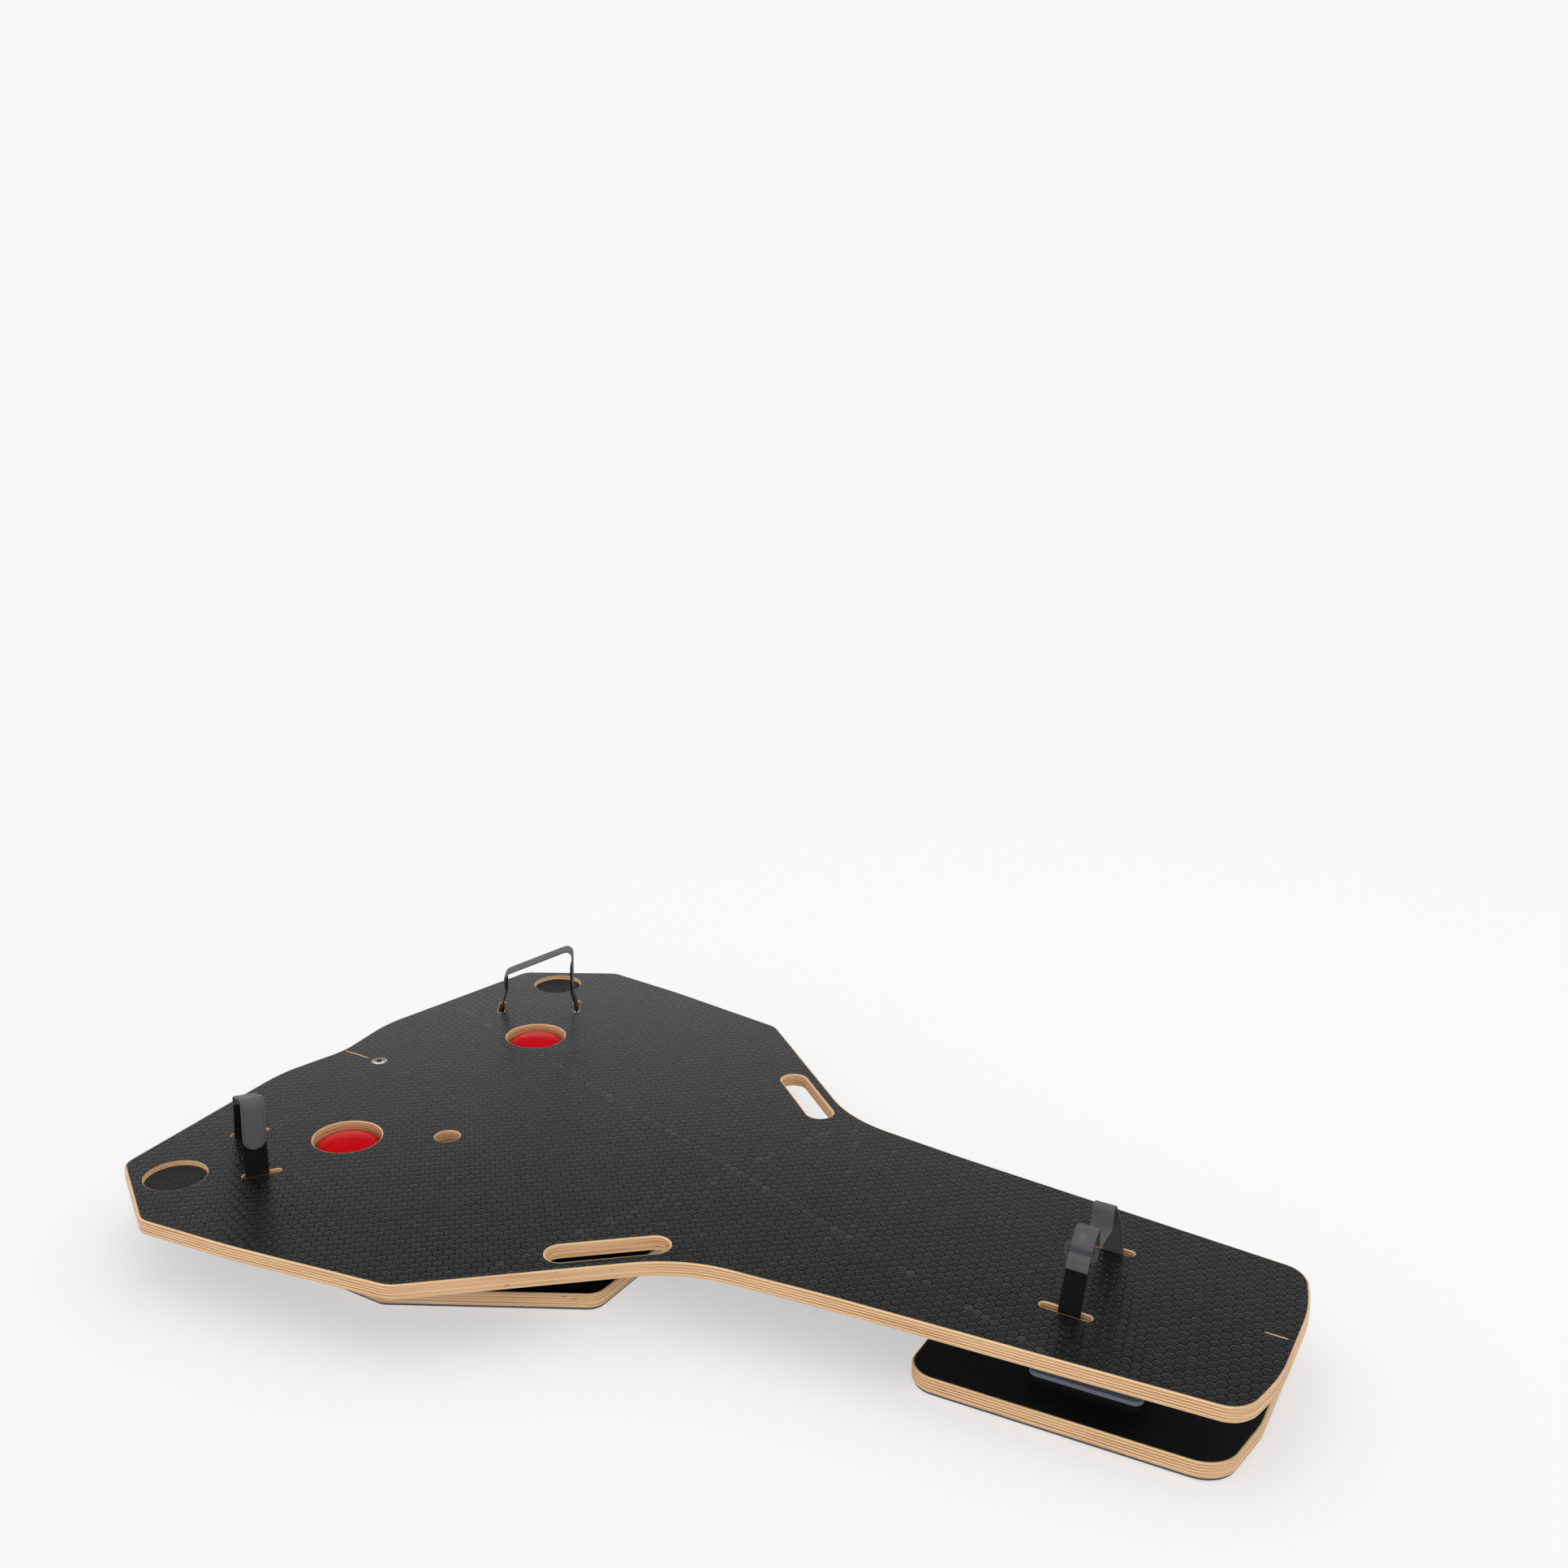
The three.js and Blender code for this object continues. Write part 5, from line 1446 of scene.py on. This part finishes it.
class ROCKER_OT_front_strap(bpy.types.Operator):
    """Makes the front webbing strap, its sewn end and its ladder buckle"""

    bl_idname = "rocker.front_strap"
    bl_label = "Front Strap and Buckle"
    bl_options = {"REGISTER", "UNDO"}

    def execute(self, context):
        slot = NOSE_SLOT_PLACE[1]
        leg = [(slot, STRAP_UNDER, STRAP_BEND), (slot, 0, STRAP_BEND), NOSE_STRAP_HIP]
        band = Band((NOSE_STRAP_X, 0, DECK_HIGH), (0, 1), NOSE_STRAP_WIDTH)
        rung = (BUCKLE_SIZE[1] - BUCKLE_BAR) / 2
        # Short end, painted black as the shaded part of the same webbing as the long end: from the
        # buckle's lower bar down through the near slot
        start = flank(-rung - SHORT_END_DROP, 0, 0)
        short = [start, *flipped(leg), (NOSE_STRAP_SHORT_END, STRAP_UNDER, 0)]
        piece = band.sweep("front_strap_short_end", short, "webbing")
        settle(piece, "deck", "black_webbing", "front_strap")
        # Long end, painted a lighter grey as the lit part of the same webbing: under the deck, up
        # the far side, over both ridges and woven through the buckle.
        # The woven corners are (up from the buckle's middle, out from the flank, bend radius)
        over_bar = BUCKLE_OUT + BUCKLE_HALF_THICK + STRAP_THICKNESS / 2 + BUCKLE_GAP
        under_bar = BUCKLE_OUT - BUCKLE_SINK
        off_bar, on_strap, tip = (-rung - drop for drop in FREE_END_DROPS)
        woven_end = (
            (rung + BUCKLE_PASS, over_bar, BUCKLE_END_BEND),
            (rung - BUCKLE_PASS, over_bar, BUCKLE_BEND),
            (BUCKLE_PASS, under_bar, BUCKLE_BEND),
            (-BUCKLE_PASS, under_bar, BUCKLE_BEND),
            (-rung + BUCKLE_PASS, over_bar, BUCKLE_BEND),
            (off_bar, over_bar, BUCKLE_END_BEND),
            (on_strap, STRAP_THICKNESS + STRAP_GAP, BUCKLE_END_BEND),
            (tip, STRAP_THICKNESS + 0.0002, 0),
        )
        ridges = [*NOSE_STRAP_RIDGE, *flipped(NOSE_STRAP_RIDGE)]
        woven_path = [flank(*corner) for corner in woven_end]
        long = [(NOSE_STRAP_LONG_END, STRAP_UNDER, 0), *leg, *ridges, *woven_path]
        piece = band.sweep("front_strap_long_end", long, "grip_webbing")
        settle(piece, "deck", "black_webbing")
        inset = NOSE_STRAP_WIDTH / 2 - NOSE_SEAM_INSET
        seams = [band.seam(long, sign * inset, NOSE_SEAM_START) for sign in (1, -1)]
        sew("front_strap_edge_seams", seams, "deck", "black_webbing")
        self.buckle()
        return {"FINISHED"}

    def buckle(self):
        """Ladder buckle: a rounded frame with a middle bar, flat on the strap."""
        bar = BUCKLE_BAR / 2
        half_long, half_high = (size / 2 - bar for size in BUCKLE_SIZE)
        ends = ((-1, -1), (1, -1), (1, 1), (-1, 1))
        corners = [(x * half_long, y * half_high, BUCKLE_CORNER) for x, y in ends]
        mesh = bmesh.new()
        rod(mesh, rounded(corners, True, BUCKLE_ARC_STEP), True, bar, BUCKLE_HALF_THICK)
        rung = [Vector((-half_long, 0)), Vector((half_long, 0))]
        rod(mesh, rung, False, BUCKLE_RUNG / 2, BUCKLE_RUNG_HALF_THICK)
        outwards = Vector((0, -math.cos(BUCKLE_LEAN), math.sin(BUCKLE_LEAN)))
        upwards = Vector((0, math.sin(BUCKLE_LEAN), math.cos(BUCKLE_LEAN)))
        across, rise, _ = flank(0, BUCKLE_OUT, 0)
        origin = Vector((NOSE_STRAP_X, across, DECK_HIGH + rise))
        for vertex in mesh.verts:
            x, y, z = vertex.co
            vertex.co = origin + Vector((x, 0, 0)) + upwards * y + outwards * z
        bmesh.ops.recalc_face_normals(mesh, faces=mesh.faces)
        piece = piece_from(mesh, "front_strap_ladder_buckle", ["buckle_plastic"])
        settle(piece, "deck", "black_plastic", "front_strap_buckle")


class ROCKER_OT_rear_straps(bpy.types.Operator):
    """Makes the two rear straps with their hook-and-loop ends"""

    bl_idname = "rocker.rear_straps"
    bl_label = "Rear Straps"
    bl_options = {"REGISTER", "UNDO"}

    def execute(self, context):
        slot = TAIL_SLOT_DISTANCE / 2
        half, top, waist = TAIL_STRAP_HALF, TAIL_STRAP_TOP, TAIL_STRAP_WAIST
        front_top, rear_top = TAIL_STRAP_WEB_TOPS
        front_end, rear_end = TAIL_STRAP_GRIP_ENDS
        waist_bend, front_bend, rear_bend = TAIL_STRAP_BENDS
        # The webbing: down the front leg, under the deck and up the rear leg
        under = [
            (half, front_top, 0), (half, waist, waist_bend),
            (slot, 0, STRAP_BEND), (slot, STRAP_UNDER, STRAP_BEND),
            (-slot, STRAP_UNDER, STRAP_BEND), (-slot, 0, STRAP_BEND),
            (-half, waist, waist_bend), (-half, rear_top, 0),
        ]
        # The hook-and-loop end: up outside the rear leg, over the top and down the front leg
        outer = half + STRAP_THICKNESS + STRAP_GAP
        over = [
            (-outer, rear_end, 0), (-outer, top - TAIL_STRAP_FALL, rear_bend),
            (outer, top, front_bend), (outer, front_end, 0),
        ]
        for name, side in (("left", 1), ("right", -1)):
            direction = strap_direction(side)
            middle = Vector((TAIL_SLOT_PLACE[0], side * TAIL_SLOT_PLACE[1]))
            middle += Vector((-direction.y, direction.x)) * (side * TAIL_STRAP_SHIFT)
            band = Band((*middle, DECK_HIGH), direction, TAIL_STRAP_WIDTH)
            piece = band.sweep("rear_strap_web_" + name, under, "webbing")
            settle(piece, "deck", "black_webbing", "rear_strap_" + name)
            piece = band.sweep("rear_strap_grip_" + name, over, "grip_fabric", round_end=True)
            settle(piece, "deck", "black_webbing")
        return {"FINISHED"}


class ROCKER_OT_centre_screw(bpy.types.Operator):
    """Makes the countersunk stainless screw on the deck's centre line"""

    bl_idname = "rocker.centre_screw"
    bl_label = "Centre Screw"
    bl_options = {"REGISTER", "UNDO"}

    def execute(self, context):
        centre, reach, low, top = upright(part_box("centre_screw"))
        rings = [(radius, rise - (top - low)) for radius, rise in CENTRE_SCREW_TIP]
        rings.append(CENTRE_SCREW_SHANK)
        rings += [(reach - inwards, height) for inwards, height in CENTRE_SCREW_RIM]
        rings.append(CENTRE_SCREW_FACE)
        rings = shaped(rings) + shaped(CENTRE_SCREW_SOCKET, hexagon_shape)
        mesh = turned(rings, sides=48, smooth_angle=25)
        bmesh.ops.translate(mesh, verts=mesh.verts, vec=(centre.x, 0, top))
        piece = piece_from(mesh, "countersunk_centre_screw", ["stainless"])
        settle(piece, "deck", "stainless", "centre_screw")
        return {"FINISHED"}


class ROCKER_OT_screws(bpy.types.Operator):
    """Makes the screws and bolts of the rails, blocks and clevis"""

    bl_idname = "rocker.screws"
    bl_label = "Screws and Bolts"
    bl_options = {"REGISTER", "UNDO"}

    # Group, body, start of the nodes' names and how many, head radius and height, drive, head below
    GROUPS = (
        ("guide_rail_screws", "base", "guide_rail_screw_", 4, 0.006, 0.0035, "cross", False),
        ("pillow_block_bolts", "carriage", "pillow_block_bolt_", 4, 0.0065, 0.005, "socket", False),
        ("hinge_block_screws", "deck", "hinge_block_screw_", 4, 0.0045, 0.0028, "cross", True),
        ("nose_block_screws", "deck", "nose_block_screw_", 2, 0.0045, 0.0028, "cross", True),
        ("nose_clevis_screws", "nose", "nose_clevis_screw_", 2, 0.0045, 0.003, "cross", False),
    )

    def execute(self, context):
        tree = fastener_tree()
        for seed, (name, body, stem, count, radius, height, drive, below) in enumerate(self.GROUPS):
            nodes = [stem + str(number + 1) for number in range(count)]
            boxes = [upright(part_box(node)) for node in nodes]
            _, _, low, high = boxes[0]
            mesh = turned(screw_rings(drive, (high - low - height) / height))
            pattern = piece_from(mesh, name + "_pattern", ["zinc_steel"])
            points = [
                (centre.x, centre.y, low + height if below else high - height)
                for centre, _, low, high in boxes
            ]
            values = {
                "Fastener": pattern,
                "Head Radius": radius,
                "Head Height": height,
                "Tilt": math.pi if below else 0.0,
                "Seed": seed,
                "Finish": finish("zinc_steel"),
            }
            piece = grown(name, points, [], tree, values)
            bpy.data.objects.remove(pattern)
            settle(piece, body, "zinc_steel", *nodes)
        return {"FINISHED"}


class ROCKER_OT_metalwork(bpy.types.Operator):
    """Makes the carriage, rails, blocks, shaft, clevis, shoe, cups and stops"""

    bl_idname = "rocker.metalwork"
    bl_label = "Carriage, Rails and Pivots"
    bl_options = {"REGISTER", "UNDO"}

    # Nodes, body, finish, slot, edge break as a share of the setting
    PIECES = (
        (("carriage_plate",), "carriage", "brushed_aluminium", "aluminium_plate", 1.2),
        (("guide_rail_left", "guide_rail_right"), "base", "black_plastic", "black_plastic", 1.2),
        (("front_end_stop", "rear_end_stop"), "base", "black_rubber", "black_rubber", 2),
        (("rear_pillow_block", "front_pillow_block"), "carriage", "black_steel", "black_steel", 1.4),
        (("rear_hinge_block", "front_hinge_block"), "deck", "black_steel", "black_steel", 1.4),
        (("nose_hinge_block",), "deck", "black_steel", "black_steel", 1.2),
        (("nose_clevis",), "nose", "black_steel", "black_steel", 1),
        (("nose_shoe",), "nose", "black_plastic", "black_plastic", 1.6),
        (("ball_cup_left", "ball_cup_right"), "carriage", "black_plastic", "black_plastic", 1.6),
        (("roll_shaft",), "carriage", "stainless", "stainless", 1.6),
        (("nose_pin",), "nose", "stainless", "stainless", 1.2),
    )
    # Small turned pieces, two of each, whose solids stay with a better finish
    KEPT = {
        "thrust_washer": "bearing_bronze",
        "hinge_bushing": "bearing_bronze",
        "nose_pin_clip": "zinc_steel",
        "shaft_set_screw": "black_steel",
    }

    def execute(self, context):
        width = context.scene.rocker_hardware.edge_break
        for nodes, body, finish_name, slot, share in self.PIECES:
            for node in nodes:
                settle(refined(node, finish_name, width * share), body, slot, node)
        for stem, finish_name in self.KEPT.items():
            for node in (stem + "_1", stem + "_2"):
                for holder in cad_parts[node].material_slots:
                    holder.material = finish(finish_name)
        return {"FINISHED"}


class ROCKER_OT_stage(bpy.types.Operator):
    """Makes the floor, the light and the camera"""

    bl_idname = "rocker.stage"
    bl_label = "Floor, Light and Camera"
    bl_options = {"REGISTER", "UNDO"}

    def execute(self, context):
        stage = context.scene.rocker_stage
        self.floor(stage)
        self.world(context.scene, stage)
        self.lamp(stage)
        self.camera(context.scene)
        context.scene.view_settings.view_transform = "Standard"
        return {"FINISHED"}

    def floor(self, stage):
        """Pale floor that gives a part of its own light."""
        mesh = bmesh.new()
        corners = ((-1, -1), (1, -1), (1, 1), (-1, 1))
        mesh.faces.new([mesh.verts.new((x * FLOOR_HALF, y * FLOOR_HALF, 0)) for x, y in corners])
        Finish("studio_floor").surface(
            Base_Color=tint(stage.floor, 1 - stage.glow),
            Roughness=0.9,
            Specular_IOR_Level=0.0,
            Emission_Color=(1, 1, 1, 1),
            Emission_Strength=stage.backdrop * stage.glow,
        )
        piece_from(mesh, "studio_floor", ["studio_floor"])

    def world(self, scene, stage):
        """Even light, with a pale background and a horizon that only glossy surfaces mirror."""
        world = bpy.data.worlds.new("studio")
        world.use_nodes = True
        make = Graph(world.node_tree)
        make.tree.nodes.clear()
        path = make.node("ShaderNodeLightPath").socket.node.outputs
        kinds = ("Camera", "Transmission", "Glossy")
        camera, clear, glossy = (Wire(make, path[f"Is {kind} Ray"]) for kind in kinds)
        height = make.split(make.node("ShaderNodeTexCoord"))[2]
        fade = make.step(height, *HORIZON_FADE)
        mirrored_light = stage.horizon + fade * (stage.zenith - stage.horizon)
        strength = stage.sky + glossy * (mirrored_light - stage.sky)
        strength = strength + make.maths("MAXIMUM", camera, clear) * (stage.backdrop - strength)
        sky = make.node("ShaderNodeBackground", {"Color": (1, 1, 1, 1), "Strength": strength})
        make.node("ShaderNodeOutputWorld", {"Surface": sky})
        scene.world = world

    def lamp(self, stage):
        """Large round lamp above the deck."""
        light = bpy.data.lights.new("key_light", "AREA")
        light.shape = "DISK"
        light.size = LAMP_SIZE
        light.energy = stage.key
        lamp = linked("key_light", light)
        lamp.location = LAMP_PLACE
        away = Vector(LAMP_AIM) - Vector(LAMP_PLACE)
        lamp.rotation_euler = away.to_track_quat("-Z", "Y").to_euler()

    def camera(self, scene):
        """Camera at the photograph's place and angle."""
        turn, lift, roll = (math.radians(angle) for angle in CAMERA_ANGLES)
        back = Vector((
            math.sin(turn) * math.cos(lift), -math.cos(turn) * math.cos(lift), math.sin(lift)
        ))
        level = Vector((math.cos(turn), math.sin(turn), 0))
        raised = back.cross(level)
        right = math.cos(roll) * level + math.sin(roll) * raised
        up = math.cos(roll) * raised - math.sin(roll) * level
        data = bpy.data.cameras.new("photo_camera")
        data.sensor_width = SENSOR_WIDTH
        data.lens = SENSOR_WIDTH * CAMERA_FOCUS / PHOTO_WIDTH
        data.clip_end = CAMERA_REACH
        pose = Matrix((right, up, back)).transposed().to_4x4()
        pose.translation = CAMERA_PLACE
        camera = linked("photo_camera", data)
        camera.matrix_world = pose
        scene.camera = camera


class ROCKER_PT_panel(bpy.types.Panel):
    """Settings and buttons of the rocker plate"""

    bl_idname = "ROCKER_PT_panel"
    bl_label = "Rocker Plate"
    bl_space_type = "VIEW_3D"
    bl_region_type = "UI"
    bl_category = "Rocker Plate"

    def draw(self, context):
        for name, group in SETTINGS.items():
            box = self.layout.box()
            box.label(text=group.__doc__)
            settings = getattr(context.scene, name)
            for key in group.__annotations__:
                box.prop(settings, key)
        for operator in OPERATORS:
            self.layout.operator(operator.bl_idname)


SETTINGS = {
    "rocker_wood": ROCKER_PG_wood,
    "rocker_balls": ROCKER_PG_balls,
    "rocker_straps": ROCKER_PG_straps,
    "rocker_hardware": ROCKER_PG_hardware,
    "rocker_stage": ROCKER_PG_stage,
}

OPERATORS = (
    ROCKER_OT_deck,
    ROCKER_OT_floor_plates,
    ROCKER_OT_glide_pads,
    ROCKER_OT_air_balls,
    ROCKER_OT_front_strap,
    ROCKER_OT_rear_straps,
    ROCKER_OT_centre_screw,
    ROCKER_OT_screws,
    ROCKER_OT_metalwork,
    ROCKER_OT_stage,
)


def register():
    """Adds the settings, the operators and the panel."""
    for settings in SETTINGS.values():
        bpy.utils.register_class(settings)
    for name, settings in SETTINGS.items():
        setattr(bpy.types.Scene, name, PointerProperty(type=settings))
    for operator in OPERATORS:
        bpy.utils.register_class(operator)
    bpy.utils.register_class(ROCKER_PT_panel)


def unregister():
    """Takes them out again."""
    bpy.utils.unregister_class(ROCKER_PT_panel)
    for operator in reversed(OPERATORS):
        bpy.utils.unregister_class(operator)
    for name in SETTINGS:
        delattr(bpy.types.Scene, name)
    for settings in SETTINGS.values():
        bpy.utils.unregister_class(settings)


def main():
    """Makes every piece and the stage."""
    register()
    for operator in OPERATORS:
        group, name = operator.bl_idname.split(".")
        getattr(getattr(bpy.ops, group), name)()


if __name__ == "__main__":
    main()
